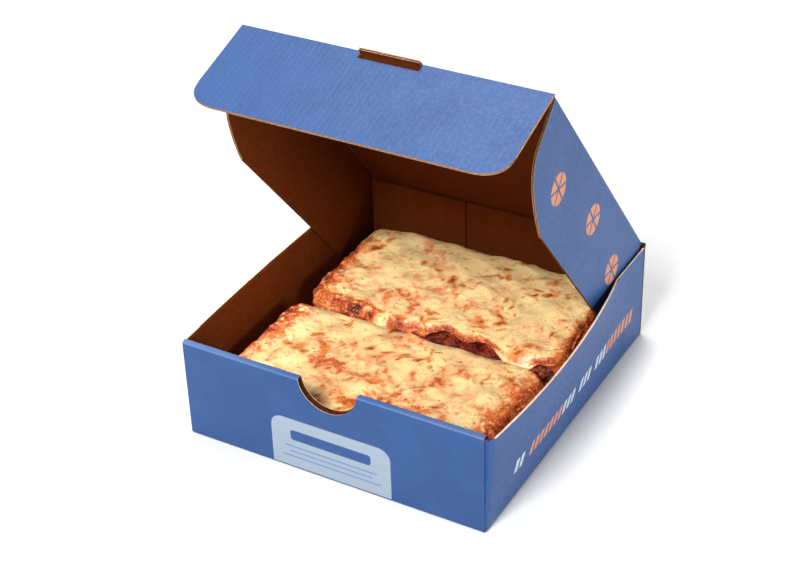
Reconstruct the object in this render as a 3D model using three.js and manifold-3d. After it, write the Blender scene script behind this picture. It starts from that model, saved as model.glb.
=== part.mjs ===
// Two thick rectangular slices of cheese pizza in a takeaway box of folded corrugated board.
//
// The box is one die-cut blank: a tray with a rolled-over front wall, a lid hinged along the top
// of the back wall, and a tuck-in flap hinged along the lid's front edge. The lid stands open.
// Millimetres, +Z up, the front of the box towards -Y, the origin at the middle of the tray's underside.

import * as THREE from 'three';
import { mergeVertices } from 'three/addons/utils/BufferGeometryUtils.js';
import Module from 'manifold-3d';

const wasm = await Module();
wasm.setup();

// ---- Driving dimensions of the box ----

const BOARD = 1.5; // thickness of the corrugated board
const TRAY = { width: 200, depth: 222, height: 67 };
const CORNER_STEP = { front: 0.8, back: 1.8 }; // how far these panels stop short of the side walls
const FRONT_TAB = 40; // corner tab folded from each side wall into the front wall
const BACK_TAB = 73; // corner tab folded from each side wall along the back wall
const BACK_TAB_DROP = 0.8; // the back tabs end this far below the rim
const FOLD_ROUND = 1.5; // outer radius of a folded crease
const RIM_ROUND = 0.9; // outer radius of the rolled front rim
const NOTCH = { radius: 19.6, above: 2 }; // thumb notch: a circle centred just above the rim
const NOTCH_CUTTER = { length: 18, sides: 40 };
// The side walls are slack where the lid's flaps don't hold them, and bow outwards along their top.
// deepest is how far, at is where along the wall, and reach how far to each side the bow runs out.
const BOW = {
  right: { deepest: 8.9, at: -35, reach: 102 },
  left: { deepest: 2.2, at: -10, reach: 94 },
};
const BOW_STEPS = 16; // flat stretches along a bowed wall
const OUTSIDE = 30; // room beside the tray in the shape that rounds its foot

const HINGE_GAP = 0.3; // air between the back wall's top and the lid's rolled edge
const CREASE_GAP = 0.4; // air between the lid's front edge and the flap's rolled edge
const LID_WIDTH = 195.4;
const LID_LENGTH = 215.7; // from the hinge line to the crease of the front flap
const LID_OPEN = 50.5; // degrees above level
const SIDE_FLAP_DEPTH = 61;
const SIDE_FLAP_START = 4.2; // the side flaps begin this far in front of the hinge line
// The side flap's front edge: how far behind the lid's crease its points lie, and how far below the lid.
const SIDE_FLAP_FRONT = { top: 2.4, brow: [6.5, 30], chin: [12, 49], lowerCorner: 54 };
const LIFT_TAB = { halfWidth: 19.1, reach: 4.8, round: 1.2 };
const FRONT_FLAP_LENGTH = 63.9;
const FRONT_FLAP_FOLD = 69; // degrees, turned down from the plane of the lid
const FRONT_FLAP_CORNER = { across: 19.5, along: 16.5 };
const SLOT_GAP = 0.4; // the slot in the front flap is this much wider than the lift tab
const BURIED = 0.2; // a side flap's root ends this far inside the lid panel

// ---- Driving dimensions of the food ----

const LAYER_GAP = 0.3; // air between two layers, and between the bread and the tray
const AROUND = 64; // points round a slice's outline
const SQUARENESS = 7.5; // exponent of the slice's rounded-rectangle outline

// Round a slice, directions are in degrees from +X. bares and drips hold [direction, half width, amount]:
// bares is where the cheese stops short of the rim and by how much, and drips where it hangs over the
// side, as a share of the longest drip.
const SLICES = [
  {
    name: 'back_slice',
    centre: [1.1, 54.9],
    turn: 0.3,
    half: [93.3, 51.3],
    phase: 0.7,
    bares: [[-76, 20, 7], [-51, 13, 7], [4, 38, 9]],
    drips: [
      [-150, 9, 0.5], [-124, 9, 1], [-101, 8, 0.5], [-40, 8, 1],
      [62, 12, 0.7], [118, 12, 0.8], [162, 10, 0.6],
    ],
  },
  {
    name: 'front_slice',
    centre: [0.6, -50.8],
    turn: -0.2,
    half: [94.2, 51.3],
    phase: 3.9,
    bares: [[0, 36, 8], [-24, 12, 3], [180, 22, 2]],
    drips: [
      [-148, 10, 0.7], [-116, 10, 0.9], [-86, 9, 0.5], [-60, 10, 0.8],
      [58, 12, 0.6], [102, 12, 0.8], [146, 9, 0.6],
    ],
  },
];
// The top falls away over the last stretch before the rim.
const SHOULDER = { reach: 12, power: 2 };

// inset is how far a layer's side stops short of the slice's outline, fall how far its top drops at the
// rim, and wave how far its side goes in and out.
const BREAD = { height: 27, inset: 1.2, fall: 3, wave: 0.5, lump: 0.5 };
const BREAD_SIDE = { edge: 1.2, upper: 3.2, belly: 8, bellyOut: 0.9, footRise: 3, footIn: 2.4 };
const SAUCE = { thickness: 3.2, inset: 0.7, fall: 3.3, wave: 0.7, lump: 0.5 };
const SAUCE_SIDE = { edge: 0.9, edgeDrop: 0.7, out: 0.6, skirt: 8, skirtWave: 1.6 };
const CHEESE = { thickness: 5.6, inset: 2, fall: 4, wave: 1.4, lump: 1.1 };
const CHEESE_SIDE = { drop: 2.4, lip: 2, lipIn: 1.8, dripOut: 2.4, dripLength: 6 };
const UNDERCUT = 16; // a topping is made this deep below the bread's top, then cut to what it covers
const UNDERCUT_SHARE = 0.8; // and its foot there is this share of its outline
// Where the rings of points over a layer's top lie, as shares of the way out to its side.
const PLAIN_RINGS = [0.4, 0.7, 0.85, 0.93];
const CHEESE_RINGS = [0.14, 0.29, 0.43, 0.56, 0.68, 0.79, 0.88, 0.95];

const BOARD_LOOK = { color: 0x4f74b4, roughness: 0.62, metalness: 0 };
const BREAD_LOOK = { color: 0xc98b4e, roughness: 0.85, metalness: 0 };
const SAUCE_LOOK = { color: 0x7a1a10, roughness: 0.3, metalness: 0 };
const CHEESE_LOOK = { color: 0xf0d797, roughness: 0.45, metalness: 0 };

// ---- Solids from three.js geometries ----

function solidFrom(geometry) {
  const bare = geometry.index ? geometry.toNonIndexed() : geometry.clone();
  bare.deleteAttribute('normal');
  bare.deleteAttribute('uv');
  const merged = mergeVertices(bare, 1e-4);
  return new wasm.Manifold(new wasm.Mesh({
    numProp: 3,
    vertProperties: new Float32Array(merged.attributes.position.array),
    triVerts: new Uint32Array(merged.index.array),
  }));
}

function geometryFrom(solid) {
  const mesh = solid.getMesh();
  const geometry = new THREE.BufferGeometry();
  geometry.setAttribute('position', new THREE.BufferAttribute(mesh.vertProperties, 3));
  geometry.setIndex(new THREE.BufferAttribute(mesh.triVerts, 1));
  const facets = geometry.toNonIndexed();
  facets.computeVertexNormals();
  return facets;
}

function namedMesh(name, solid, look) {
  const mesh = new THREE.Mesh(geometryFrom(solid), new THREE.MeshStandardMaterial(look));
  mesh.name = name;
  return mesh;
}

function block(x, y, z) {
  const geometry = new THREE.BoxGeometry(x[1] - x[0], y[1] - y[0], z[1] - z[0]);
  geometry.translate((x[0] + x[1]) / 2, (y[0] + y[1]) / 2, (z[0] + z[1]) / 2);
  return solidFrom(geometry);
}

// A prism of a flat outline. The outline is (y, z) for axis x, (x, z) for axis y and (x, y) for axis z.
function prismGeometry(axis, outline, from, to) {
  const settings = { depth: to - from, bevelEnabled: false, curveSegments: 5 };
  const geometry = new THREE.ExtrudeGeometry(outline, settings);
  const place = {
    x: new THREE.Matrix4().set(0, 0, 1, from, 1, 0, 0, 0, 0, 1, 0, 0, 0, 0, 0, 1),
    y: new THREE.Matrix4().set(1, 0, 0, 0, 0, 0, -1, to, 0, 1, 0, 0, 0, 0, 0, 1),
    z: new THREE.Matrix4().makeTranslation(0, 0, from),
  }[axis];
  geometry.applyMatrix4(place);
  return geometry;
}

function prism(axis, outline, from, to) {
  return solidFrom(prismGeometry(axis, outline, from, to));
}

// A closed outline through corners [x, y, radius]. A corner with a radius is rounded.
function outlineThrough(corners) {
  const shape = new THREE.Shape();
  corners.forEach(([x, y, radius = 0], i) => {
    const corner = new THREE.Vector2(x, y);
    const before = new THREE.Vector2(...corners[(i + corners.length - 1) % corners.length]);
    const after = new THREE.Vector2(...corners[(i + 1) % corners.length]);
    const start = before.sub(corner).setLength(radius).add(corner);
    const end = after.sub(corner).setLength(radius).add(corner);
    if (i === 0) shape.moveTo(start.x, start.y);
    else shape.lineTo(start.x, start.y);
    if (radius > 0) shape.quadraticCurveTo(x, y, end.x, end.y);
  });
  shape.closePath();
  return shape;
}

// ---- The tray ----

// How far the top of a side wall stands out at a place along it.
function bowOut(side, y) {
  const { deepest, at, reach } = side > 0 ? BOW.right : BOW.left;
  return deepest * Math.max(0, 1 - ((y - at) / reach) ** 2);
}

// One side wall. side is 1 on the right and -1 on the left. It leans out evenly from its foot.
function sideWall(side) {
  const outer = side * TRAY.width / 2;
  const inner = side * (TRAY.width / 2 - BOARD);
  const front = -TRAY.depth / 2 + BOARD;
  const back = -front;
  const stations = [];
  for (let i = 1; i < BOW_STEPS; i += 1) {
    stations.push(THREE.MathUtils.lerp(front, back, i / BOW_STEPS));
  }
  const outline = outlineThrough([
    [inner, front],
    [outer, front, FOLD_ROUND],
    ...stations.map((y) => [outer, y]),
    [outer, back, FOLD_ROUND],
    [inner, back],
    ...stations.reverse().map((y) => [inner, y]),
  ]);
  const geometry = prismGeometry('z', outline, 0, TRAY.height);
  const place = geometry.attributes.position;
  for (let i = 0; i < place.count; i += 1) {
    const lean = bowOut(side, place.getY(i)) * place.getZ(i) / TRAY.height;
    place.setX(i, place.getX(i) + side * lean);
  }
  return solidFrom(geometry);
}

// A corner tab folded from a side wall, which leans with the wall. from and to are its two faces.
function cornerTab(side, length, height, from, to) {
  const outer = side * (TRAY.width / 2 - BOARD / 2);
  const end = side * (TRAY.width / 2 - length);
  const lean = side * bowOut(side, from) * height / TRAY.height;
  const outline = outlineThrough([
    [end, 0],
    [outer, 0],
    [outer + lean, height],
    [end + lean, height],
  ]);
  return prism('y', outline, from, to);
}

// The front wall is board folded up, over the corner tabs and down again, with a hollow between.
function frontWall() {
  const front = -TRAY.depth / 2;
  const reach = TRAY.width / 2 - CORNER_STEP.front;
  const outer = outlineThrough([
    [front, 0],
    [front + 3 * BOARD, 0],
    [front + 3 * BOARD, TRAY.height, RIM_ROUND],
    [front, TRAY.height, RIM_ROUND],
  ]);
  outer.holes.push(outlineThrough([
    [front + BOARD, BOARD],
    [front + BOARD, TRAY.height - BOARD],
    [front + 2 * BOARD, TRAY.height - BOARD],
    [front + 2 * BOARD, BOARD],
  ]));
  return prism('x', outer, -reach, reach);
}

function thumbNotch() {
  const { length, sides } = NOTCH_CUTTER;
  const notch = new THREE.CylinderGeometry(NOTCH.radius, NOTCH.radius, length, sides);
  notch.translate(0, -TRAY.depth / 2, TRAY.height + NOTCH.above);
  return solidFrom(notch);
}

function tray() {
  const halfWidth = TRAY.width / 2;
  const halfDepth = TRAY.depth / 2;
  const floor = block([-halfWidth, halfWidth], [-halfDepth, halfDepth], [0, BOARD]);
  const backReach = halfWidth - CORNER_STEP.back;
  const backWall = block([-backReach, backReach], [halfDepth - BOARD, halfDepth], [0, TRAY.height]);
  const frontTabHeight = TRAY.height - BOARD;
  const backTabHeight = TRAY.height - BACK_TAB_DROP;
  let solid = floor.add(backWall).add(frontWall()).subtract(thumbNotch());
  for (const side of [-1, 1]) {
    solid = solid.add(sideWall(side))
      .add(cornerTab(side, FRONT_TAB, frontTabHeight, BOARD - halfDepth, 2 * BOARD - halfDepth))
      .add(cornerTab(side, BACK_TAB, backTabHeight, halfDepth - 2 * BOARD, halfDepth - BOARD));
  }
  // The foot is rounded all round. Above it, the shape that rounds it spreads, clear of the bowed walls.
  const rounded = (half) => outlineThrough([
    [-half, 0, FOLD_ROUND],
    [half, 0, FOLD_ROUND],
    [half, FOLD_ROUND],
    [half + OUTSIDE, TRAY.height + 1],
    [-half - OUTSIDE, TRAY.height + 1],
    [-half, FOLD_ROUND],
  ]);
  return solid
    .intersect(prism('x', rounded(halfDepth), -halfWidth - OUTSIDE, halfWidth + OUTSIDE))
    .intersect(prism('y', rounded(halfWidth), -halfDepth - 1, halfDepth + 1));
}

// ---- The lid, lying level with its hinge line on the X axis, reaching towards -Y ----

// A plate of board seen from the side, rolled round the origin at its hinged end.
function rolledPlate(length) {
  const shape = new THREE.Shape();
  shape.absarc(0, 0, BOARD / 2, -Math.PI / 2, Math.PI / 2, false);
  shape.lineTo(-length, BOARD / 2);
  shape.lineTo(-length, -BOARD / 2);
  shape.closePath();
  return shape;
}

function lid() {
  const half = BOARD / 2;
  const side = LID_WIDTH / 2;
  const front = -(LID_LENGTH - half - CREASE_GAP);
  const panel = prism('x', rolledPlate(-front), -side, side);

  // A side flap's outline: a nearly straight front edge, a full lower front corner, a level lower edge.
  const { top, brow, chin, lowerCorner } = SIDE_FLAP_FRONT;
  const underPanel = half - BURIED;
  const flapOutline = new THREE.Shape();
  flapOutline.moveTo(-SIDE_FLAP_START, underPanel);
  flapOutline.lineTo(-SIDE_FLAP_START, -SIDE_FLAP_DEPTH);
  flapOutline.lineTo(lowerCorner - LID_LENGTH, -SIDE_FLAP_DEPTH);
  flapOutline.quadraticCurveTo(chin[0] - LID_LENGTH, -chin[1], brow[0] - LID_LENGTH, -brow[1]);
  flapOutline.lineTo(top - LID_LENGTH, 0);
  flapOutline.lineTo(top - LID_LENGTH, underPanel);
  flapOutline.closePath();
  const leftFlap = prism('x', flapOutline, -side, -side + BOARD);
  const rightFlap = prism('x', flapOutline, side - BOARD, side);

  const tabRoot = front + BOARD;
  const tabEnd = -LID_LENGTH - LIFT_TAB.reach;
  const tabOutline = outlineThrough([
    [-LIFT_TAB.halfWidth, tabRoot],
    [-LIFT_TAB.halfWidth, tabEnd, LIFT_TAB.round],
    [LIFT_TAB.halfWidth, tabEnd, LIFT_TAB.round],
    [LIFT_TAB.halfWidth, tabRoot],
  ]);
  const tab = prism('z', tabOutline, -half, half);

  // The long creases between the panel and its side flaps are rounded.
  const section = outlineThrough([
    [-side, -SIDE_FLAP_DEPTH - 1],
    [side, -SIDE_FLAP_DEPTH - 1],
    [side, half, FOLD_ROUND],
    [-side, half, FOLD_ROUND],
  ]);
  return panel.add(leftFlap).add(rightFlap).add(tab).intersect(prism('y', section, -LID_LENGTH - 10, 10));
}

// The tuck-in flap, lying level with its crease on the X axis, reaching towards -Y.
function frontFlap() {
  const side = LID_WIDTH / 2;
  const { across, along } = FRONT_FLAP_CORNER;
  const outline = new THREE.Shape();
  outline.moveTo(-side, BOARD);
  outline.lineTo(-side, -(FRONT_FLAP_LENGTH - along));
  outline.quadraticCurveTo(-side, -FRONT_FLAP_LENGTH, -side + across, -FRONT_FLAP_LENGTH);
  outline.lineTo(side - across, -FRONT_FLAP_LENGTH);
  outline.quadraticCurveTo(side, -FRONT_FLAP_LENGTH, side, -(FRONT_FLAP_LENGTH - along));
  outline.lineTo(side, BOARD);
  outline.closePath();
  const slotHalf = LIFT_TAB.halfWidth + SLOT_GAP;
  const slot = block([-slotHalf, slotHalf], [-LIFT_TAB.reach - SLOT_GAP, BOARD], [-BOARD, BOARD]);
  return prism('x', rolledPlate(FRONT_FLAP_LENGTH + 1), -side, side)
    .intersect(prism('z', outline, -BOARD, BOARD))
    .subtract(slot);
}

// ---- The food ----

// A smooth ripple between about -1 and 1 that closes on itself after a full turn.
function ripple(angle, phase) {
  return 0.4 * Math.sin(5 * angle + phase)
    + 0.35 * Math.sin(9 * angle + 2.1 * phase)
    + 0.25 * Math.sin(16 * angle + 3.7 * phase);
}

// Low rounded lumps over the top of a slice, between about -1 and 1.
function lumps(x, y, phase) {
  return 0.4 * Math.sin(0.11 * x + phase) * Math.cos(0.13 * y - phase)
    + 0.35 * Math.sin(0.21 * x - 0.12 * y + 2 * phase)
    + 0.25 * Math.cos(0.16 * x + 0.31 * y + 3 * phase);
}

function rimRadius(slice, angle, inset) {
  const across = Math.abs(Math.cos(angle)) / (slice.half[0] - inset);
  const along = Math.abs(Math.sin(angle)) / (slice.half[1] - inset);
  return (across ** SQUARENESS + along ** SQUARENESS) ** (-1 / SQUARENESS);
}

// A closed layer of a slice. Each ring is { scale, inset, height(angle, x, y) }, from the middle of
// the top, over the rim, to the middle of the underside.
function layer(slice, rings, topMiddle, bottomMiddle) {
  const points = [[0, 0, topMiddle]];
  for (const ring of rings) {
    for (let i = 0; i < AROUND; i += 1) {
      const angle = (2 * Math.PI * i) / AROUND;
      const radius = rimRadius(slice, angle, ring.inset(angle)) * ring.scale;
      const x = radius * Math.cos(angle);
      const y = radius * Math.sin(angle);
      points.push([x, y, ring.height(angle, x, y)]);
    }
  }
  points.push([0, 0, bottomMiddle]);
  const faces = [];
  const at = (ring, i) => 1 + ring * AROUND + (i % AROUND);
  const last = points.length - 1;
  for (let i = 0; i < AROUND; i += 1) {
    faces.push(0, at(0, i), at(0, i + 1));
    for (let ring = 0; ring + 1 < rings.length; ring += 1) {
      faces.push(at(ring, i), at(ring + 1, i), at(ring + 1, i + 1));
      faces.push(at(ring, i), at(ring + 1, i + 1), at(ring, i + 1));
    }
    faces.push(last, at(rings.length - 1, i + 1), at(rings.length - 1, i));
  }
  const turn = THREE.MathUtils.degToRad(slice.turn);
  const placed = points.map(([x, y, z]) => [
    slice.centre[0] + x * Math.cos(turn) - y * Math.sin(turn),
    slice.centre[1] + x * Math.sin(turn) + y * Math.cos(turn),
    z,
  ]);
  return new wasm.Manifold(new wasm.Mesh({
    numProp: 3,
    vertProperties: new Float32Array(placed.flat()),
    triVerts: new Uint32Array(faces),
  }));
}

const BREAD_BASE = BOARD + LAYER_GAP;
const BREAD_TOP = BREAD_BASE + BREAD.height;
const SAUCE_TOP = BREAD_TOP + LAYER_GAP + SAUCE.thickness;
const CHEESE_TOP = SAUCE_TOP + LAYER_GAP + CHEESE.thickness;
const TOPPING_BASE = BREAD_TOP - UNDERCUT;

// The height of a layer's top at a point: lumpy, level in the middle, falling towards the rim.
function surfaceHeight(slice, top, look, phase, x, y) {
  const along = Math.max(0, 1 - (slice.half[0] - Math.abs(x)) / SHOULDER.reach);
  const across = Math.max(0, 1 - (slice.half[1] - Math.abs(y)) / SHOULDER.reach);
  return top + look.lump * lumps(x, y, phase) - look.fall * Math.hypot(along, across) ** SHOULDER.power;
}

// Rings over the top of a layer, each at a share of the way out to its side.
function topRings(shares, inset, height) {
  return shares.map((scale) => ({ scale, inset, height }));
}

// The bread is a slab with a rounded foot and side. grown makes it larger all round.
function bread(slice, grown = 0) {
  const inset = (extra) => (angle) => BREAD.inset + extra - grown
    - BREAD.wave * ripple(angle, slice.phase + 2);
  const height = (angle, x, y) => surfaceHeight(slice, BREAD_TOP, BREAD, slice.phase + 1, x, y) + grown;
  const rim = BREAD_TOP - BREAD.fall + grown;
  const { edge, upper, belly, bellyOut, footRise, footIn } = BREAD_SIDE;
  const rings = [
    ...topRings(PLAIN_RINGS, inset(0), height),
    { scale: 1, inset: inset(edge), height: () => rim - edge },
    { scale: 1, inset: inset(0), height: () => rim - upper },
    { scale: 1, inset: inset(-bellyOut), height: () => BREAD_BASE + belly },
    { scale: 1, inset: inset(0), height: () => BREAD_BASE + footRise },
    { scale: 1, inset: inset(footIn), height: () => BREAD_BASE - grown },
  ];
  return layer(slice, rings, height(0, 0, 0), BREAD_BASE - grown);
}

// The sauce covers the bread and runs over its edge. Its underside is cut to the bread.
function sauce(slice, grown = 0) {
  const inset = (extra) => (angle) => SAUCE.inset + extra - grown
    - SAUCE.wave * ripple(angle, slice.phase + 5);
  const height = (angle, x, y) => surfaceHeight(slice, SAUCE_TOP, SAUCE, slice.phase + 1, x, y) + grown;
  const { edge, edgeDrop, out, skirt, skirtWave } = SAUCE_SIDE;
  const rim = SAUCE_TOP - SAUCE.fall + grown;
  const foot = (angle) => rim - skirt - skirtWave * ripple(angle, slice.phase + 4) - 2 * grown;
  const rings = [
    ...topRings(PLAIN_RINGS, inset(0), height),
    { scale: 1, inset: inset(edge), height: () => rim - edgeDrop },
    { scale: 1, inset: inset(-out), height: (angle) => (rim + foot(angle)) / 2 },
    { scale: 1, inset: inset(edge), height: foot },
    { scale: UNDERCUT_SHARE, inset: inset(0), height: () => TOPPING_BASE },
  ];
  return layer(slice, rings, height(0, 0, 0), TOPPING_BASE);
}

// The sum of rounded bumps round a slice, each given as [direction, half width, amount] in degrees.
function bumps(list, angle) {
  const degrees = THREE.MathUtils.radToDeg(angle);
  let total = 0;
  for (const [direction, halfWidth, amount] of list) {
    const turned = THREE.MathUtils.euclideanModulo(degrees - direction + 180, 360) - 180;
    total += amount * Math.max(0, 1 - (turned / halfWidth) ** 2) ** 2;
  }
  return total;
}

// The cheese covers the sauce, with a lobed rim that drips. Its underside is cut to the layers below.
function cheese(slice) {
  const { drop, lip, lipIn, dripOut, dripLength } = CHEESE_SIDE;
  const inset = (extra) => (angle) => CHEESE.inset + extra + bumps(slice.bares, angle)
    - CHEESE.wave * ripple(angle, slice.phase) - dripOut * bumps(slice.drips, angle);
  const height = (angle, x, y) => surfaceHeight(slice, CHEESE_TOP, CHEESE, slice.phase, x, y);
  const rim = (angle, x, y) => height(angle, x, y) - drop;
  const hem = (angle, x, y) => rim(angle, x, y) - lip - dripLength * bumps(slice.drips, angle);
  const rings = [
    ...topRings(CHEESE_RINGS, inset(0), height),
    { scale: 1, inset: inset(0), height: rim },
    { scale: 1, inset: inset(0), height: hem },
    { scale: 1, inset: inset(lipIn), height: (angle, x, y) => hem(angle, x, y) - lip / 2 },
    { scale: UNDERCUT_SHARE, inset: inset(0), height: () => TOPPING_BASE },
  ];
  return layer(slice, rings, height(0, 0, 0), TOPPING_BASE);
}

// The one body that a cut leaves, without loose scraps.
function largestBody(solid) {
  return solid.decompose().reduce((best, piece) => (piece.volume() > best.volume() ? piece : best));
}

function sliceMeshes(slice) {
  const grownBread = bread(slice, LAYER_GAP);
  const grownSauce = sauce(slice, LAYER_GAP);
  return [
    namedMesh(`${slice.name}_bread`, bread(slice), BREAD_LOOK),
    namedMesh(`${slice.name}_sauce`, largestBody(sauce(slice).subtract(grownBread)), SAUCE_LOOK),
    namedMesh(
      `${slice.name}_cheese`,
      largestBody(cheese(slice).subtract(grownSauce).subtract(grownBread)),
      CHEESE_LOOK,
    ),
  ];
}

// ---- The whole ----

const pizzaInBox = new THREE.Group();
pizzaInBox.add(namedMesh('tray', tray(), BOARD_LOOK));
for (const slice of SLICES) pizzaInBox.add(...sliceMeshes(slice));

const lidHinge = new THREE.Group();
lidHinge.position.set(0, TRAY.depth / 2 - BOARD / 2, TRAY.height + HINGE_GAP + BOARD / 2);
lidHinge.rotation.x = THREE.MathUtils.degToRad(-LID_OPEN);
lidHinge.add(namedMesh('lid', lid(), BOARD_LOOK));
pizzaInBox.add(lidHinge);

const flapCrease = new THREE.Group();
flapCrease.position.set(0, -LID_LENGTH, 0);
flapCrease.rotation.x = THREE.MathUtils.degToRad(FRONT_FLAP_FOLD);
flapCrease.add(namedMesh('front_flap', frontFlap(), BOARD_LOOK));
lidHinge.add(flapCrease);

export default pizzaInBox;
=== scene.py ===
"""Two thick slices of cheese pizza in an open takeaway box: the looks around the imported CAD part.

Helpers work in millimetres in the frame's own axes, and make_piece scales a mesh to metres.
The box is made of corrugated board as it really is: two liners with a waved sheet between them.
"""

import math

import bmesh
import bpy
import numpy as np
from mathutils import Matrix, Vector


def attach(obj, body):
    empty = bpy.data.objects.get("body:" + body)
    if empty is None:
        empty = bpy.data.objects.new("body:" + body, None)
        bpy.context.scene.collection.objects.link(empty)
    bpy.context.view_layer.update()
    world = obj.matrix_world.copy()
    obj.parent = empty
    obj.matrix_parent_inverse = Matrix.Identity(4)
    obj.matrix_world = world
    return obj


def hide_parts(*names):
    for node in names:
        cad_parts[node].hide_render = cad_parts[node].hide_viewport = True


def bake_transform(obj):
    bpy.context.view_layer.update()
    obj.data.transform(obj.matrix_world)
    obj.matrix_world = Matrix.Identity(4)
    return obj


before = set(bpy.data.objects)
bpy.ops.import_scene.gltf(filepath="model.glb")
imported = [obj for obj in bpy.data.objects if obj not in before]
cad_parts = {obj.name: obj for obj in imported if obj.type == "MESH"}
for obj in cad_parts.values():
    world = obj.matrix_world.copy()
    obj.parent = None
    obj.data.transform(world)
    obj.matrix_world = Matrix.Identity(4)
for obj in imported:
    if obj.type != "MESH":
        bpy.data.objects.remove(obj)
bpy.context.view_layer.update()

MM = 0.001

# ---- The box, as in the CAD source but for two values, which close the ends of the hinge ----

BOARD = 1.5
TRAY_WIDTH, TRAY_DEPTH, TRAY_HEIGHT = 200.0, 222.0, 67.0
FRONT_STEP = 0.8  # how far the front wall stops short of the tray's sides
BACK_STEP = 0.6  # and the back wall, 1.8 in the CAD source
# The bow of each side wall along its top: how deep it is, where along the wall, and how far it runs out.
BOWS = {
    1: {"deepest": 8.9, "at": -35.0, "reach": 102.0},
    -1: {"deepest": 2.2, "at": -10.0, "reach": 94.0},
}
FRONT_TAB, BACK_TAB = 40.0, 73.0
RIM_ROUND = 0.9
NOTCH_RADIUS, NOTCH_ABOVE = 19.6, 2.0
HINGE_GAP, CREASE_GAP = 0.3, 0.4
LID_WIDTH, LID_LENGTH, LID_OPEN = 195.4, 215.7, 50.5
SIDE_FLAP_DEPTH = 61.0
SIDE_FLAP_START = 2.8  # how far from the hinge the side flaps begin, 4.2 in the CAD source
TAB_HALF, TAB_REACH = 19.1, 4.8
FLAP_LENGTH, FLAP_FOLD = 63.9, 69.0
FLAP_CORNER_ACROSS, FLAP_CORNER_ALONG = 19.5, 16.5
SLOT_GAP = 0.4

# ---- The board's own make-up ----

FLUTE = 3.4  # pitch of the waves
LINER = 0.26  # thickness of each flat sheet
MEDIUM = 0.2  # thickness of the waved sheet
WASHBOARD = 0.018  # how far the flutes show through a liner
RIM_WASHBOARD = 0.07  # and on the rolled rim, where the board is pressed
FOLD = 1.9  # outer radius of a folded crease

# ---- Helpers for colour and numbers ----


def srgb(red, green, blue):
    """A colour given as it looks on screen, 0 to 255, as linear light with alpha."""
    channels = [c / 255 for c in (red, green, blue)]
    linear = [c / 12.92 if c <= 0.04045 else ((c + 0.055) / 1.055) ** 2.4 for c in channels]
    return (*linear, 1.0)


def smoothstep(low, high, value):
    t = np.clip((value - low) / (high - low), 0, 1)
    return t * t * (3 - 2 * t)


def cloud(points, size, seed):
    """Smooth random values between -1 and 1 at points, changing over about size millimetres."""
    cells = 48
    lattice = np.random.default_rng(seed).uniform(-1, 1, (cells, cells, cells))
    place = np.asarray(points) / size + 100.37  # an offset that no part of the box lines up with
    cell = np.floor(place).astype(int)
    part = place - cell
    part = part * part * (3 - 2 * part)
    total = 0
    for corner in np.ndindex(2, 2, 2):
        weight = np.prod(np.where(corner, part, 1 - part), axis=-1)
        i, j, k = np.moveaxis((cell + corner) % cells, -1, 0)
        total = total + weight * lattice[i, j, k]
    return total


# ---- Helpers for materials ----


class Shade:
    """One material and the nodes that are added to it."""

    def __init__(self, name):
        self.material = bpy.data.materials.new(name)
        self.material.use_nodes = True
        self.tree = self.material.node_tree
        self.shader = self.tree.nodes["Principled BSDF"]

    def add(self, kind, inputs=(), **settings):
        node = self.tree.nodes.new("ShaderNode" + kind)
        for key, value in settings.items():
            setattr(node, key, value)
        for key, value in dict(inputs).items():
            self.feed(node.inputs[key], value)
        return node

    def feed(self, socket, value):
        if isinstance(value, bpy.types.NodeSocket):
            self.tree.links.new(value, socket)
        else:
            socket.default_value = value

    def finish(self, **inputs):
        for key, value in inputs.items():
            self.feed(self.shader.inputs[key.replace("_", " ")], value)
        return self.material

    def position(self):
        """The point on the piece, in millimetres."""
        inputs = {0: self.add("TexCoord").outputs["Object"], "Scale": 1 / MM}
        return self.add("VectorMath", inputs, operation="SCALE").outputs["Vector"]

    def vector(self, operation, *values):
        node = self.add("VectorMath", enumerate(values), operation=operation)
        return node.outputs["Value" if operation in ("LENGTH", "DOT_PRODUCT") else "Vector"]

    def maths(self, operation, *values):
        return self.add("Math", enumerate(values), operation=operation).outputs["Value"]

    def product(self, first, *others):
        for other in others:
            first = self.maths("MULTIPLY", first, other)
        return first

    def noise(self, place, scale, detail=3.0, roughness=0.55):
        inputs = {"Vector": place, "Scale": scale, "Detail": detail, "Roughness": roughness}
        return self.add("TexNoise", inputs).outputs["Fac"]

    def remap(self, value, low, high, to_low=0.0, to_high=1.0):
        inputs = {"Value": value, "From Min": low, "From Max": high, "To Min": to_low, "To Max": to_high}
        return self.add("MapRange", inputs, interpolation_type="SMOOTHSTEP").outputs["Result"]

    def mix(self, share, first, second):
        return self.add("Mix", {0: share, 6: first, 7: second}, data_type="RGBA").outputs[2]

    def layered(self, colour, *layers):
        """colour under layers, each (value, low, high, strength, colour) and setting in from low to high."""
        for value, low, high, strength, over in layers:
            colour = self.mix(self.remap(value, low, high, 0.0, strength), colour, over)
        return colour

    def between(self, value, low, high, blur):
        """1 where value lies between low and high, 0 outside them, blurred at both ends."""
        return self.product(
            self.remap(value, low - blur, low + blur), self.remap(value, high + blur, high - blur),
        )

    def attribute(self, name):
        return self.add("Attribute", attribute_name=name).outputs["Fac"]

    def bump(self, height, distance, strength, **inputs):
        inputs.update(Height=height, Distance=distance, Strength=strength)
        return self.add("Bump", inputs).outputs["Normal"]

    def rounded_box(self, place, centre, half, radius):
        """1 inside a box with rounded corners, 0 outside it."""
        offset = self.vector("ABSOLUTE", self.vector("SUBTRACT", place, centre))
        corner = [size - radius for size in half]
        beyond = self.vector("MAXIMUM", self.vector("SUBTRACT", offset, corner), (0, 0, 0))
        return self.remap(self.vector("LENGTH", beyond), radius + PRINT_BLUR, radius - PRINT_BLUR)


# ---- Materials of the board ----

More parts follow.
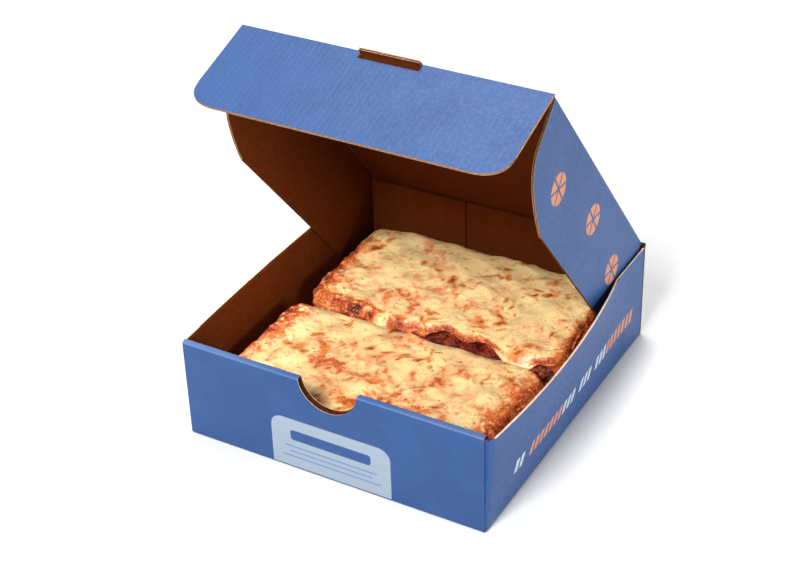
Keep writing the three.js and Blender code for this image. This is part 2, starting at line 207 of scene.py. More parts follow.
BLUE = srgb(41, 71, 119)
BLUE_DEEP = srgb(37, 67, 114)
# A paler blue: worn fibres in the print, the label's thin lines, and together with the rim blue the rim's
# painted light.
BLUE_PALE = srgb(80, 104, 146)
# The rim's blue, lighter than the walls': painted light on the up-facing rolled rim.
BLUE_RIM_PAINTED_LIGHT = srgb(66, 98, 148)
LABEL_PALE = srgb(133, 146, 160)
INK_WHITE = srgb(166, 176, 186)
INK_ORANGE = srgb(182, 118, 80)

PRINT_BLUR = 0.12  # half the width over which a print's edge fades out

# Rounded boxes on the front wall: height of the middle, half width, half height, radius, strength and ink.
LABEL = [
    (-3.5, 40.0, 40.0, 8.0, 1.0, LABEL_PALE),  # cut off by the wall's foot
    (25.0, 27.0, 3.6, 2.16, 1.0, BLUE),
    (16.5, 31.0, 0.55, 0.55, 0.75, BLUE_PALE),
    (12.9, 28.0, 0.55, 0.55, 0.75, BLUE_PALE),
    (9.3, 33.0, 0.55, 0.55, 0.75, BLUE_PALE),
]

# Slanted dashes along the side walls, as runs from one place to another along the wall.
WHITE_RUNS = [(-82, -64), (-14, 1), (6, 28), (34, 49)]
ORANGE_RUNS = [(-60, -18), (54, 92)]
DASH = {"pitch": 6.2, "share": 0.62, "slant": 0.3, "bottom": 21.6, "top": 30.4}

# Discs on the lid's side flaps, at distances from the hinge and below the lid's face.
DISCS = [(38.0, 33.0), (98.0, 24.0), (164.0, 33.0)]
DISC_RADIUS = 9.6
DISC_GAP = 0.75  # half the gap between two wedges of a disc


def lid_matrix():
    hinge = Matrix.Translation((0, TRAY_DEPTH / 2 - BOARD / 2, TRAY_HEIGHT + HINGE_GAP + BOARD / 2))
    return hinge @ Matrix.Rotation(math.radians(-LID_OPEN), 4, "X")


def flap_matrix():
    crease = Matrix.Translation((0, -LID_LENGTH, 0))
    return lid_matrix() @ crease @ Matrix.Rotation(math.radians(FLAP_FOLD), 4, "X")


def label_marks(s, place):
    """A pale panel low on the front wall, with a blue bar and three thin lines."""
    through_the_wall = 1000.0
    marks = []
    for height, half_width, half_height, radius, strength, ink in LABEL:
        box = s.rounded_box(place, (0, 0, height), (half_width, through_the_wall, half_height), radius)
        marks.append((s.product(box, strength), ink))
    return marks


def dash_marks(s, place):
    """Runs of whole slanted dashes, some white and some orange, along a side wall."""
    split = s.add("SeparateXYZ", {"Vector": place}).outputs
    slanted = s.maths("ADD", split["Y"], s.product(split["Z"], -DASH["slant"]))
    phase = s.maths("FRACT", s.maths("DIVIDE", slanted, DASH["pitch"]))
    dash = s.product(
        s.between(phase, 0.02, DASH["share"], 0.02), s.between(split["Z"], DASH["bottom"], DASH["top"], 0.1),
    )
    lean = DASH["slant"] * (DASH["bottom"] + DASH["top"]) / 2
    marks = []
    for runs, colour in ((WHITE_RUNS, INK_WHITE), (ORANGE_RUNS, INK_ORANGE)):
        inside = 0.0
        for run in runs:
            low, high = (round((end - lean) / DASH["pitch"]) * DASH["pitch"] - 0.01 for end in run)
            within = s.product(s.maths("GREATER_THAN", slanted, low), s.maths("LESS_THAN", slanted, high))
            inside = s.maths("MAXIMUM", inside, within)
        marks.append((s.product(dash, inside), colour))
    return marks


def disc_marks(s, place):
    """Discs cut in six wedges, on both side flaps of the lid."""
    lid = lid_matrix()
    split = s.add("SeparateXYZ", {"Vector": place}).outputs
    sides = {"X": s.maths("ABSOLUTE", split["X"]), "Y": split["Y"], "Z": split["Z"]}
    mirrored = s.add("CombineXYZ", sides).outputs["Vector"]
    discs = 0.0
    for along, below in DISCS:
        centre = lid @ Vector((LID_WIDTH / 2, -along, BOARD / 2 - below))
        offset = s.vector("SUBTRACT", mirrored, centre)
        disc = s.remap(s.vector("LENGTH", offset), DISC_RADIUS + PRINT_BLUR, DISC_RADIUS - PRINT_BLUR)
        for turn in (20, 80, 140):
            angle = math.radians(turn)
            normal = lid.to_3x3() @ Vector((0, math.cos(angle), math.sin(angle)))
            from_cut = s.maths("ABSOLUTE", s.vector("DOT_PRODUCT", offset, normal))
            disc = s.product(disc, s.remap(from_cut, DISC_GAP - PRINT_BLUR, DISC_GAP + PRINT_BLUR))
        discs = s.maths("MAXIMUM", discs, disc)
    return [(discs, INK_ORANGE)]


def printed_board(name, marks=None, blues=(BLUE_DEEP, BLUE)):
    """Satin ink on board: slightly mottled, with the paper's fibres and soft dents."""
    s = Shade(name)
    place = s.position()
    mottle = s.noise(place, 0.035, 2.0)
    fibre = s.noise(place, 1.6, 4.0, 0.65)
    colour = s.layered(blues[0], (mottle, 0.35, 0.65, 1.0, blues[1]), (fibre, 0.52, 0.8, 0.35, BLUE_PALE))
    for mask, ink in marks(s, place) if marks else []:
        colour = s.mix(mask, colour, ink)
    rough = s.remap(s.noise(place, 0.5, 3.0), 0.3, 0.7, 0.4, 0.52)
    dents = s.bump(s.noise(place, 0.12, 3.0), 0.0006, 0.35)
    return s.finish(
        Base_Color=colour, Roughness=rough, Specular_IOR_Level=0.2,
        Normal=s.bump(fibre, 0.00006, 0.5, Normal=dents),
    )


def kraft(name, dark, light, speck):
    """Bare brown kraft paper with long fibres and small dark specks."""
    s = Shade(name)
    place = s.position()
    fibre = s.noise(s.vector("MULTIPLY", place, (1.0, 0.25, 1.0)), 1.1, 5.0, 0.7)
    colour = s.layered(
        dark,
        (fibre, 0.3, 0.7, 1.0, light),
        (s.noise(place, 0.05, 2.0), 0.35, 0.7, 0.25, dark),
        (s.noise(place, 2.2, 2.0), 0.7, 0.78, 0.6, speck),
    )
    uneven = s.bump(fibre, 0.00012, 0.6)
    return s.finish(Base_Color=colour, Roughness=0.9, Specular_IOR_Level=0.05, Normal=uneven)


BOX_MATERIALS = [
    kraft("kraft_inside", srgb(78, 32, 6), srgb(98, 45, 11), srgb(50, 22, 8)),
    kraft("kraft_cut_edge", srgb(132, 92, 60), srgb(178, 138, 100), srgb(86, 54, 32)),
    printed_board("blue_print"),
    printed_board("blue_print_with_label", label_marks),
    printed_board("blue_print_with_dashes", dash_marks),
    printed_board("blue_print_with_discs", disc_marks),
    # The rim's print is painted lighter, mottled from the rim blue and the pale blue: painted light where the
    # rim faces up.
    printed_board("blue_print_rim_painted_light", blues=(BLUE_RIM_PAINTED_LIGHT, BLUE_PALE)),
    kraft("pale_cut_edge", srgb(206, 178, 152), srgb(226, 204, 182), srgb(150, 108, 78)),
    # Painted shade: a dark kraft for the board's inner layers where the notch cuts through them, standing in
    # for the shade inside the cut.
    kraft("kraft_painted_shade_in_the_cut", srgb(46, 20, 6), srgb(60, 28, 9), srgb(30, 13, 5)),
]
# The places of these materials in the list, in its order.
KRAFT_INSIDE, KRAFT_EDGE, PRINT, PRINT_LABEL, PRINT_DASHES, PRINT_DISCS = range(6)
PRINT_RIM_PAINTED_LIGHT, PALE_EDGE, KRAFT_SHADED = range(6, 9)

# ---- Materials of the food ----


def cheese_material():
    """Melted cheese: cream where it is thick, peach where the sauce shows through, browned in spots.

    The values at its points are cover (how thick it is), brown (how toasted near the sides, with painted
    shade in the crevices), tint (each shred's own shade) and spot (browned spots).
    """
    s = Shade("melted_cheese")
    place = s.position()
    cover, brown, tint, spot = (s.attribute(name) for name in ("cover", "brown", "tint", "spot"))
    fine = s.noise(place, 0.5, 3.0, 0.6)
    finer = s.noise(place, 1.4, 2.0, 0.6)
    grain = s.maths("MULTIPLY_ADD", fine, 0.5, s.maths("MULTIPLY_ADD", finer, 0.4, -0.45))
    shown = s.maths("MULTIPLY_ADD", grain, 2.0, cover)
    browned = s.product(spot, s.maths("MULTIPLY_ADD", grain, 3.0, 1.0))
    toast = s.maths("MULTIPLY_ADD", grain, 3.0, s.product(brown, 1.2))
    crumbs = s.noise(place, 0.95, 2.0, 0.6)
    colour = s.layered(
        srgb(186, 84, 40),
        (shown, 0.0, 0.3, 1.0, srgb(226, 142, 86)),
        (shown, 0.2, 0.55, 1.0, srgb(240, 188, 132)),
        (shown, 0.5, 0.9, 1.0, srgb(244, 214, 150)),
        (tint, 0.2, 0.9, 0.35, srgb(248, 224, 166)),
        (tint, -0.3, -1.0, 0.3, srgb(230, 172, 98)),
        (browned, 0.1, 0.32, 0.9, srgb(220, 126, 50)),
        (browned, 0.42, 0.75, 1.0, srgb(146, 48, 22)),
        (toast, 0.1, 0.5, 1.0, srgb(202, 104, 46)),
        (toast, 0.55, 1.0, 1.0, srgb(138, 46, 24)),
        (toast, 1.05, 1.5, 0.85, srgb(64, 14, 12)),
        (crumbs, 0.56, 0.68, 0.45, srgb(240, 200, 146)),
    )
    dry = s.remap(brown, 0.1, 0.7)
    return s.finish(
        Base_Color=colour,
        Roughness=s.maths("MULTIPLY_ADD", dry, 0.15, s.remap(fine, 0.3, 0.7, 0.24, 0.44)),
        Specular_IOR_Level=s.maths("MULTIPLY_ADD", dry, -0.3, 0.45),
        Subsurface_Weight=0.2, Subsurface_Radius=(1.0, 0.55, 0.25), Subsurface_Scale=0.0015,
        Normal=s.bump(grain, 0.0008, 0.6),
    )


def sauce_material():
    """Thick wet tomato sauce, baked red-brown at the slice's ends, and painted nearly black as shade between
    its lumps and low on its side.
    """
    s = Shade("tomato_sauce")
    place = s.position()
    fine = s.noise(place, 0.5, 3.0, 0.6)
    finer = s.noise(place, 1.6, 2.0, 0.6)
    painted_shade_and_tone = s.attribute("painted_shade_and_tone")
    baked = s.maths("ADD", s.attribute("toasted"), s.maths("MULTIPLY_ADD", finer, 1.2, -0.6))
    baked = s.maths("SUBTRACT", baked, s.product(painted_shade_and_tone, 0.5))
    colour = s.layered(
        srgb(68, 9, 6),
        (fine, 0.35, 0.7, 1.0, srgb(112, 24, 12)),
        # Painted shade: nearly black between the lumps and low on the side.
        (painted_shade_and_tone, -0.1, 0.5, 1.0, srgb(28, 5, 4)),
        (baked, 0.1, 0.6, 0.85, srgb(172, 70, 28)),
    )
    return s.finish(
        Base_Color=colour, Roughness=s.remap(finer, 0.3, 0.7, 0.12, 0.26), Specular_IOR_Level=0.3,
        Normal=s.bump(fine, 0.002, 0.9),
    )


def bread_material():
    """Baked dough, browner at the foot and under the sauce than half way up."""
    s = Shade("baked_bread")
    fine = s.noise(s.position(), 0.4, 4.0, 0.65)
    rise = s.attribute("rise")
    colour = s.layered(
        srgb(196, 132, 72),
        (fine, 0.3, 0.7, 1.0, srgb(226, 172, 108)),
        (rise, 0.3, 0.0, 0.8, srgb(150, 84, 38)),
        (rise, 0.6, 0.9, 0.6, srgb(164, 88, 44)),
    )
    return s.finish(Base_Color=colour, Roughness=0.75, Normal=s.bump(fine, 0.0008, 0.6))


def herb_material():
    s = Shade("dried_herbs")
    fine = s.noise(s.position(), 0.8, 2.0)
    return s.finish(Base_Color=s.mix(fine, srgb(58, 52, 24), srgb(96, 82, 38)), Roughness=0.7)


CHEESE_LOOK, SAUCE_LOOK = cheese_material(), sauce_material()
BREAD_LOOK, HERB_LOOK = bread_material(), herb_material()

# ---- Helpers for meshes ----


def add_object(name, data):
    """A new object in the scene."""
    item = bpy.data.objects.new(name, data)
    bpy.context.scene.collection.objects.link(item)
    return item


def mesh_from(points, faces, slots=0):
    """A mesh in millimetres. slots is the number of its material, or one number for each face."""
    mesh = bpy.data.meshes.new("part")
    mesh.from_pydata([tuple(p) for p in points], [], [tuple(int(i) for i in f) for f in faces])
    mesh.polygons.foreach_set("material_index", np.full(len(faces), slots, np.int32))
    return mesh


def grid_quads(index):
    """Quads between neighbours in a grid of point numbers."""
    return np.stack([index[:-1, :-1], index[:-1, 1:], index[1:, 1:], index[1:, :-1]], -1).reshape(-1, 4)


def rim_of(grid):
    """The values on a grid's rim, in order round it."""
    return np.concatenate([grid[0, :-1], grid[:-1, -1], grid[-1, :0:-1], grid[:0:-1, 0]])


def shell(outside, inside, skin, core):
    """A closed sheet between two grids of points. skin is the outside's material, core that of the rest."""
    points = np.concatenate([outside.reshape(-1, 3), inside.reshape(-1, 3)])
    index = np.arange(len(points) // 2).reshape(outside.shape[:2])
    quads = grid_quads(index)
    rim = rim_of(index)
    after = np.roll(rim, -1)
    sides = np.stack([after, rim, rim + index.size, after + index.size], -1)
    faces = np.concatenate([quads, quads[:, ::-1] + index.size, sides])
    slots = np.full(len(faces), core)
    slots[: len(quads)] = skin
    return mesh_from(points, faces, slots)


def joined(meshes, matrix=None):
    """One mesh of several closed ones, with their faces turned outwards."""
    whole = bmesh.new()
    for mesh in meshes:
        whole.from_mesh(mesh)
        bpy.data.meshes.remove(mesh)
    bmesh.ops.recalc_face_normals(whole, faces=whole.faces)
    mesh = bpy.data.meshes.new("joined")
    whole.to_mesh(mesh)
    whole.free()
    if matrix is not None:
        mesh.transform(matrix)
    return mesh


def cut(mesh, cutter):
    """mesh with cutter taken away. The cut faces have the cutter's material."""
    for data in (mesh, cutter):
        for material in BOX_MATERIALS:
            data.materials.append(material)
    objects = [add_object("cutting", data) for data in (mesh, cutter)]
    modifier = objects[0].modifiers.new("cut", "BOOLEAN")
    modifier.object = objects[1]
    modifier.operation = "DIFFERENCE"
    modifier.solver = "MANIFOLD"
    evaluated = objects[0].evaluated_get(bpy.context.evaluated_depsgraph_get())
    result = bpy.data.meshes.new_from_object(evaluated)
    for holder in objects:
        bpy.data.objects.remove(holder)
    return result


def prism(outline, sweep, slot):
    """A solid from a closed outline of points, swept along a vector."""
    count = len(outline)
    i = np.arange(count)
    j = np.roll(i, -1)
    faces = [*np.stack([i, j, j + count, i + count], -1), i[::-1], i + count]
    return joined([mesh_from(np.concatenate([outline, outline + sweep]), faces, slot)])


def circle(radius, sides, across, up):
    """Points of a circle about the origin, turning from one direction towards another."""
    angles = 2 * math.pi * np.arange(sides)[:, None] / sides
    return radius * (np.cos(angles) * across + np.sin(angles) * up)


def block(low, high):
    """A plain block, used to cut with, of the look of a cut edge."""
    corners = [(x, y, z) for x in (low[0], high[0]) for y in (low[1], high[1]) for z in (low[2], high[2])]
    faces = [(0, 1, 3, 2), (4, 6, 7, 5), (0, 4, 5, 1), (2, 3, 7, 6), (0, 2, 6, 4), (1, 5, 7, 3)]
    return joined([mesh_from(corners, faces, KRAFT_EDGE)])


def make_piece(name, mesh, materials, smooth_degrees):
    """A piece in metres from a mesh in millimetres."""
    mesh.transform(Matrix.Scale(MM, 4))
    mesh.name = name
    for material in materials:
        mesh.materials.append(material)
    mesh.shade_smooth()
    mesh.set_sharp_from_angle(angle=math.radians(smooth_degrees))
    return add_object(name, mesh)


# ---- Board ----

X, Y, Z = np.eye(3)


def columns_over(span, step):
    """Evenly spread places over a span, at most step apart."""
    count = max(2, int(math.ceil((span[1] - span[0]) / step)) + 1)
    return np.linspace(span[0], span[1], count)


def points_along(start, end, step):
    """Points from start to end, at most step apart, and how far each is past the middle."""
    start, end = np.asarray(start, float), np.asarray(end, float)
    length = np.linalg.norm(end - start)
    u = columns_over((0, length), step)
    return start + u[:, None] / length * (end - start), u - length / 2


def flat_board(origin, across, along, outward, span, start, end, skin, washboard=WASHBOARD, rows=2,
               edge=KRAFT_EDGE):
    """A flat panel of corrugated board: outer liner, waved medium and inner liner.

    origin lies on the outer face. span is the range across the flutes. start and end, numbers or
    functions of the place across, are the ends along the flutes, with rows of points from one to the other.
    """
    origin = np.asarray(origin, float)
    wave_height = (BOARD - 2 * LINER - MEDIUM) / 2 - 0.02  # just short of touching the liners

    def grid(step, depth, crest_height):
        """Points over the panel at a depth below its outer face, raised by crest_height at the crests."""
        u = columns_over(span, step)
        low = start(u) if callable(start) else np.full_like(u, start)
        high = end(u) if callable(end) else np.full_like(u, end)
        v = np.linspace(low, high, rows)
        lowered = depth - crest_height * np.cos(2 * math.pi * u / FLUTE)
        return origin + u[None, :, None] * across + v[..., None] * along - lowered[None, :, None] * outward

    fine, finer = FLUTE / 6, FLUTE / 10
    medium = [grid(finer, (BOARD + side * MEDIUM) / 2, wave_height) for side in (-1, 1)]
    return [
        shell(grid(fine, 0, washboard), grid(fine, LINER, 0), skin, edge),
        shell(*medium, edge, edge),
        shell(grid(fine, BOARD, -washboard), grid(fine, BOARD - LINER, 0), KRAFT_INSIDE, edge),
    ]


def fold_skin(axis_start, axis_end, radius, start_side, end_side, skin, washboard=WASHBOARD, core=KRAFT_EDGE):
    """The outer liner bent round a crease, from one outward direction to another."""
    line, past_middle = points_along(axis_start, axis_end, FLUTE / 6)
    turn = math.acos(np.clip(np.dot(start_side, end_side), -1, 1))
    sideways = (end_side - math.cos(turn) * start_side) / math.sin(turn)
    angles = np.linspace(0, turn, 6)[:, None]
    radial = np.cos(angles) * start_side + np.sin(angles) * sideways
    ridge = washboard * np.cos(2 * math.pi * past_middle / FLUTE)
    outer = line[None] + radial[:, None] * (radius + ridge)[None, :, None]
    inner = line[None] + radial[:, None] * (radius - LINER)
    return shell(outer, inner, skin, core)


# Across a pressed edge: the depth below the outer face, and how far the edge bulges there.
PRESSED_PROFILE = [
    (0.02, 0.0), (0.2, 0.1), (0.5, 0.02), (0.8, 0.06), (1.0, 0.0), (1.3, 0.09), (BOARD - 0.02, 0.0),
]
RAGGEDNESS = 0.045


def pressed_edge(start, end, outward, edge_out, seed, look):
    """A cut edge along the flutes, where the knife has pressed the board together.

    start and end lie on the outer face, outward points out of it, and edge_out out of the cut.
    """
    line, _ = points_along(start, end, 1.1)
    depth, bulge = np.array(PRESSED_PROFILE).T
    ragged = np.random.default_rng(seed).uniform(-RAGGEDNESS, RAGGEDNESS, (len(depth), len(line)))
    ragged += 0.05 * cloud(line[None] + depth[:, None, None] * outward, 7.0, seed)
    lift = bulge[:, None] + ragged
    outer = line[None] - depth[:, None, None] * outward + lift[..., None] * edge_out
    inner = line[None] - depth[:, None, None] * outward - 0.5 * edge_out
    return shell(outer, inner, look, look)


def crease_bead(start, end, radius):
    """The inside of a crease along X: a thin round bead of kraft."""
    return prism(start * X + circle(radius, 14, Y, Z), (end - start) * X, KRAFT_INSIDE)


# ---- The tray ----

HALF_W, HALF_D = TRAY_WIDTH / 2, TRAY_DEPTH / 2
FRONT_REACH, BACK_REACH = HALF_W - FRONT_STEP, HALF_W - BACK_STEP  # half the widths of these walls
WALL_END = HALF_D - BOARD - FOLD  # where the side walls start to turn into their corner tabs
TAB_FLOOR = BOARD + 0.2  # the corner tabs end just above the floor
CORNER_RISE = 2.2  # the back corners' skin stands this far above the walls, and closes the hinge's ends
EDGE_THINNING = {"share": 0.36, "reach": 2.5}  # the knife leaves a cut top thinner than the board
# At a side wall's front and back end: the tab's length, and how far below the wall's top the tab and the
# corner's skin end.
CORNERS = [(-1, FRONT_TAB, BOARD + 0.1, 0.05), (1, BACK_TAB, 0.8, -CORNER_RISE)]
CREASE_START = 0.8  # the crease strip begins this far below the back wall's top
FAR = 5.0  # how far a cutter reaches past what it cuts
NOTCH_CUT = 17.0  # the length of the notch's cutter, which ends well behind the front wall


def bowed(mesh, side):
    """A part of a side wall, thinned towards its cut top and leant out to the wall's bow."""
    places = np.empty(3 * len(mesh.vertices))
    mesh.vertices.foreach_get("co", places)
    places = places.reshape(-1, 3)
    x, y, z = places.T
    depth = HALF_W - side * x
    near_top = smoothstep(TRAY_HEIGHT - EDGE_THINNING["reach"], TRAY_HEIGHT, z)
    thinned = depth * (1 - EDGE_THINNING["share"] * near_top)
    depth = np.where(depth < BOARD + 0.3, thinned, depth)
    bow = BOWS[side]
    lean = bow["deepest"] * np.maximum(0, 1 - ((y - bow["at"]) / bow["reach"]) ** 2) * z / TRAY_HEIGHT
    places[:, 0] = side * (HALF_W - depth + lean)
    mesh.vertices.foreach_set("co", places.ravel())
    return mesh


def side_wall(side):
    """A side wall with its bottom fold, corner folds and tabs. side is 1 on the right and -1 on the left."""
    outward = side * X
    axis, face = side * (HALF_W - FOLD), side * HALF_W
    parts = flat_board(
        (face, 0, 0), Z, Y, outward, (FOLD, TRAY_HEIGHT), -WALL_END, WALL_END, PRINT_DASHES, rows=14,
        edge=KRAFT_INSIDE,
    )
    wall_foot = [(axis, end * (WALL_END + FOLD), FOLD) for end in (-1, 1)]
    parts.append(fold_skin(*wall_foot, FOLD, -Z, outward, PRINT))
    for end, tab_length, tab_drop, corner_drop in CORNERS:
        corner = (axis, end * WALL_END)
        fold_ends = (*corner, TAB_FLOOR), (*corner, TRAY_HEIGHT - corner_drop)
        parts.append(fold_skin(*fold_ends, FOLD, outward, end * Y, PRINT, core=KRAFT_INSIDE))
        parts += flat_board(
            (0, end * (HALF_D - BOARD), 0), Z, outward, end * Y, (TAB_FLOOR, TRAY_HEIGHT - tab_drop),
            HALF_W - tab_length, HALF_W - FOLD, PRINT, edge=KRAFT_INSIDE,
        )
    wall_top = [(face, end * WALL_END, TRAY_HEIGHT) for end in (-1, 1)]
    parts.append(pressed_edge(*wall_top, outward, Z, 11 + side, PALE_EDGE))
    return [bowed(part, side) for part in parts]


def fold_across(reach, y, z, radius, start_side, end_side, skin, washboard=WASHBOARD):
    """A fold along X, from -reach to reach."""
    return fold_skin((-reach, y, z), (reach, y, z), radius, start_side, end_side, skin, washboard)


def notch_cutter(slot):
    """A cylinder across the front wall, just above its rim, that leaves its material on the cuts."""
    middle = (TRAY_HEIGHT + NOTCH_ABOVE) * Z - (HALF_D + FAR) * Y
    return prism(middle + circle(NOTCH_RADIUS, 96, X, Z), NOTCH_CUT * Y, slot)


def front_wall():
    """Board folded up, over the corner tabs and down again, with the thumb notch cut through.

    The notch's cut is pale on the printed liners alone, and dark in the board between them: painted shade
    inside the cut.
    """
    front = -HALF_D
    inner_face = front + 3 * BOARD
    span, top = (-FRONT_REACH, FRONT_REACH), TRAY_HEIGHT - RIM_ROUND
    outer = flat_board((0, front, 0), X, Z, -Y, span, FOLD, top, PRINT_LABEL, edge=KRAFT_INSIDE)
    inner = flat_board((0, inner_face, 0), X, Z, Y, span, BOARD, top, PRINT, edge=KRAFT_INSIDE)
    rim_edges = front + RIM_ROUND, inner_face - RIM_ROUND
    # The rim takes the print that is painted lighter: painted light on its up-facing top.
    rim_look = {"skin": PRINT_RIM_PAINTED_LIGHT, "washboard": RIM_WASHBOARD}
    rim = flat_board((0, 0, TRAY_HEIGHT), X, Y, Z, span, *rim_edges, **rim_look, edge=KRAFT_INSIDE)
    folds = [
        fold_across(FRONT_REACH, rim_edges[0], top, RIM_ROUND, -Y, Z, **rim_look),
        fold_across(FRONT_REACH, rim_edges[1], top, RIM_ROUND, Y, Z, **rim_look),
        fold_across(FRONT_REACH, front + FOLD, FOLD, FOLD, -Z, -Y, PRINT),
    ]
    ends = []
    for side in (-1, 1):
        x = side * FRONT_REACH
        ends.append(pressed_edge((x, front, FOLD), (x, front, top), -Y, side * X, 23 + side, PRINT))
    pale = [cut(part, notch_cutter(PALE_EDGE)) for part in (outer[0], inner[0], *folds)]
    # Painted shade: the board between the liners takes the dark kraft on the notch's cut.
    dark = [cut(part, notch_cutter(KRAFT_SHADED)) for part in (*outer[1:], *inner[1:], *rim)]
    return pale + dark + ends


def back_wall():
    """The back wall up to the lid's crease, and the fold at its foot."""
    span, top = (-BACK_REACH, BACK_REACH), TRAY_HEIGHT - CREASE_START
    parts = flat_board((0, HALF_D, 0), X, Z, Y, span, FOLD, top, PRINT, edge=KRAFT_INSIDE)
    return [*parts, fold_across(BACK_REACH, HALF_D - FOLD, FOLD, FOLD, -Z, Y, PRINT)]


def tray_floor():
    half_width, half_depth = HALF_W - FOLD, HALF_D - FOLD
    return flat_board((0, 0, 0), X, Y, -Z, (-half_width, half_width), -half_depth, half_depth, PRINT)


tray_meshes = tray_floor() + side_wall(1) + side_wall(-1) + front_wall() + back_wall()
tray = make_piece("box_tray", joined(tray_meshes), BOX_MATERIALS, 35)
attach(tray, "tray")
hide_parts("tray")

# ---- The lid, made level with its hinge line on the X axis, reaching towards -Y ----

HALF = BOARD / 2
LID_SIDE = LID_WIDTH / 2
PANEL_FRONT = LID_LENGTH - HALF - CREASE_GAP  # the lid's flat panel ends here, short of the flap's crease
SKIN_START = 0.9  # the outer liner begins this far from a crease's axis, beside the crease strip
BEAD_RADIUS, BEAD_END = HALF - 0.04, LID_SIDE - 0.3
# A side flap's front, from its lower edge up, as (depth below the lid's middle, distance short of its front):
# the start, control point and end of a curve, and the place at the top that it runs straight to from there.
CHIN_CURVE = [(SIDE_FLAP_DEPTH, 54.0), (49.0, 12.0), (30.0, 6.5)]
CHIN_TOP = (0.0, 2.4)
CHIN_START = LID_LENGTH - CHIN_CURVE[0][1]


def quadratic(start, control, end):
    """Points along a curve that leaves start towards control and arrives at end from it."""
    t = np.linspace(0, 1, 40)[:, None]
    return (1 - t) ** 2 * np.array(start) + 2 * t * (1 - t) * np.array(control) + t ** 2 * np.array(end)


def side_flap_front(depth):
    """How far from the hinge a side flap reaches, at a depth below the lid's middle."""
    depths, gaps = np.concatenate([quadratic(*CHIN_CURVE), [CHIN_TOP]])[::-1].T
    return LID_LENGTH - np.interp(depth, depths, gaps)


def hide_crease_end(mesh):
    """The cut ends beside a crease on the X axis, coloured as the inside since the fold closes over them."""
    for face in mesh.polygons:
        if abs(face.center.y) < 2 and face.material_index == KRAFT_EDGE:
            face.material_index = KRAFT_INSIDE
    return mesh


def lid_panel():
    """The lid's flat panel, with the lift tab left standing between its two front corners."""
    outer_half = LID_SIDE - FOLD
    length = LID_LENGTH + TAB_REACH
    parts = flat_board((0, 0, HALF), X, -Y, Z, (-outer_half, outer_half), SKIN_START, length, PRINT)
    for low, high in ((-LID_SIDE - FAR, -TAB_HALF), (TAB_HALF, LID_SIDE + FAR)):
        parts = [cut(part, block((low, -length - FAR, -FAR), (high, -PANEL_FRONT, FAR))) for part in parts]
    return [hide_crease_end(part) for part in parts]


def lid_side_flap(side):
    """A side flap with the fold that joins it to the lid. side is 1 on the right, -1 on the left."""
    outward = side * X
    face, lower = side * LID_SIDE, -SIDE_FLAP_DEPTH
    span = FOLD - HALF, SIDE_FLAP_DEPTH
    parts = flat_board(
        (face, 0, 0), -Z, -Y, outward, span, SIDE_FLAP_START, side_flap_front, PRINT_DISCS,
    )
    x, z = side * (LID_SIDE - FOLD), HALF - FOLD
    parts.append(fold_skin((x, -SKIN_START, z), (x, -PANEL_FRONT, z), FOLD, Z, outward, PRINT))
    lower_edge = (face, -SIDE_FLAP_START, lower), (face, -CHIN_START, lower)
    # The lower edge takes the inside's dark kraft rather than the cut edge's tan: painted shade where it lies
    # along the tray's wall.
    parts.append(pressed_edge(*lower_edge, outward, -Z, 31 + side, KRAFT_INSIDE))
    return parts


lid_meshes = lid_panel() + lid_side_flap(1) + lid_side_flap(-1)
lid_meshes.append(crease_bead(-BEAD_END, BEAD_END, BEAD_RADIUS))
lid = make_piece("box_lid", joined(lid_meshes, lid_matrix()), BOX_MATERIALS, 35)
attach(lid, "lid")
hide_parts("lid")

# ---- The front flap, made level with its crease on the X axis, reaching towards -Y ----

SLOT_HALF = TAB_HALF + SLOT_GAP
FLAP_STRAIGHT = FLAP_LENGTH - FLAP_CORNER_ALONG  # the flap's sides are straight up to here


def front_flap_end(across):
    """How far from its crease the flap reaches, at a place across it."""
    corner = quadratic(
        (LID_SIDE - FLAP_CORNER_ACROSS, FLAP_LENGTH), (LID_SIDE, FLAP_LENGTH), (LID_SIDE, FLAP_STRAIGHT),
    )
    return np.interp(np.abs(across), corner[:, 0], corner[:, 1])


def front_flap_board():
    """The front flap, with the slot that the lift tab stands in and a bead on each side of it."""
    parts = flat_board((0, 0, HALF), X, -Y, Z, (-LID_SIDE, LID_SIDE), SKIN_START, front_flap_end, PRINT)
    slot = (-SLOT_HALF, -TAB_REACH - SLOT_GAP, -FAR), (SLOT_HALF, FAR, FAR)
    parts = [cut(part, block(*slot)) for part in parts]
    for side in (-1, 1):
        x = side * LID_SIDE
        parts.append(pressed_edge(
            (x, -SKIN_START, HALF), (x, -FLAP_STRAIGHT, HALF), Z, side * X, 41 + side, KRAFT_EDGE,
        ))
        low, high = sorted((side * SLOT_HALF, side * BEAD_END))
        parts.append(crease_bead(low, high, BEAD_RADIUS))
    return parts


front_flap = make_piece("box_front_flap", joined(front_flap_board(), flap_matrix()), BOX_MATERIALS, 35)
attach(front_flap, "front_flap")
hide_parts("front_flap")

# ---- The printed skin over the two creases, shaped to the folds as they stand ----


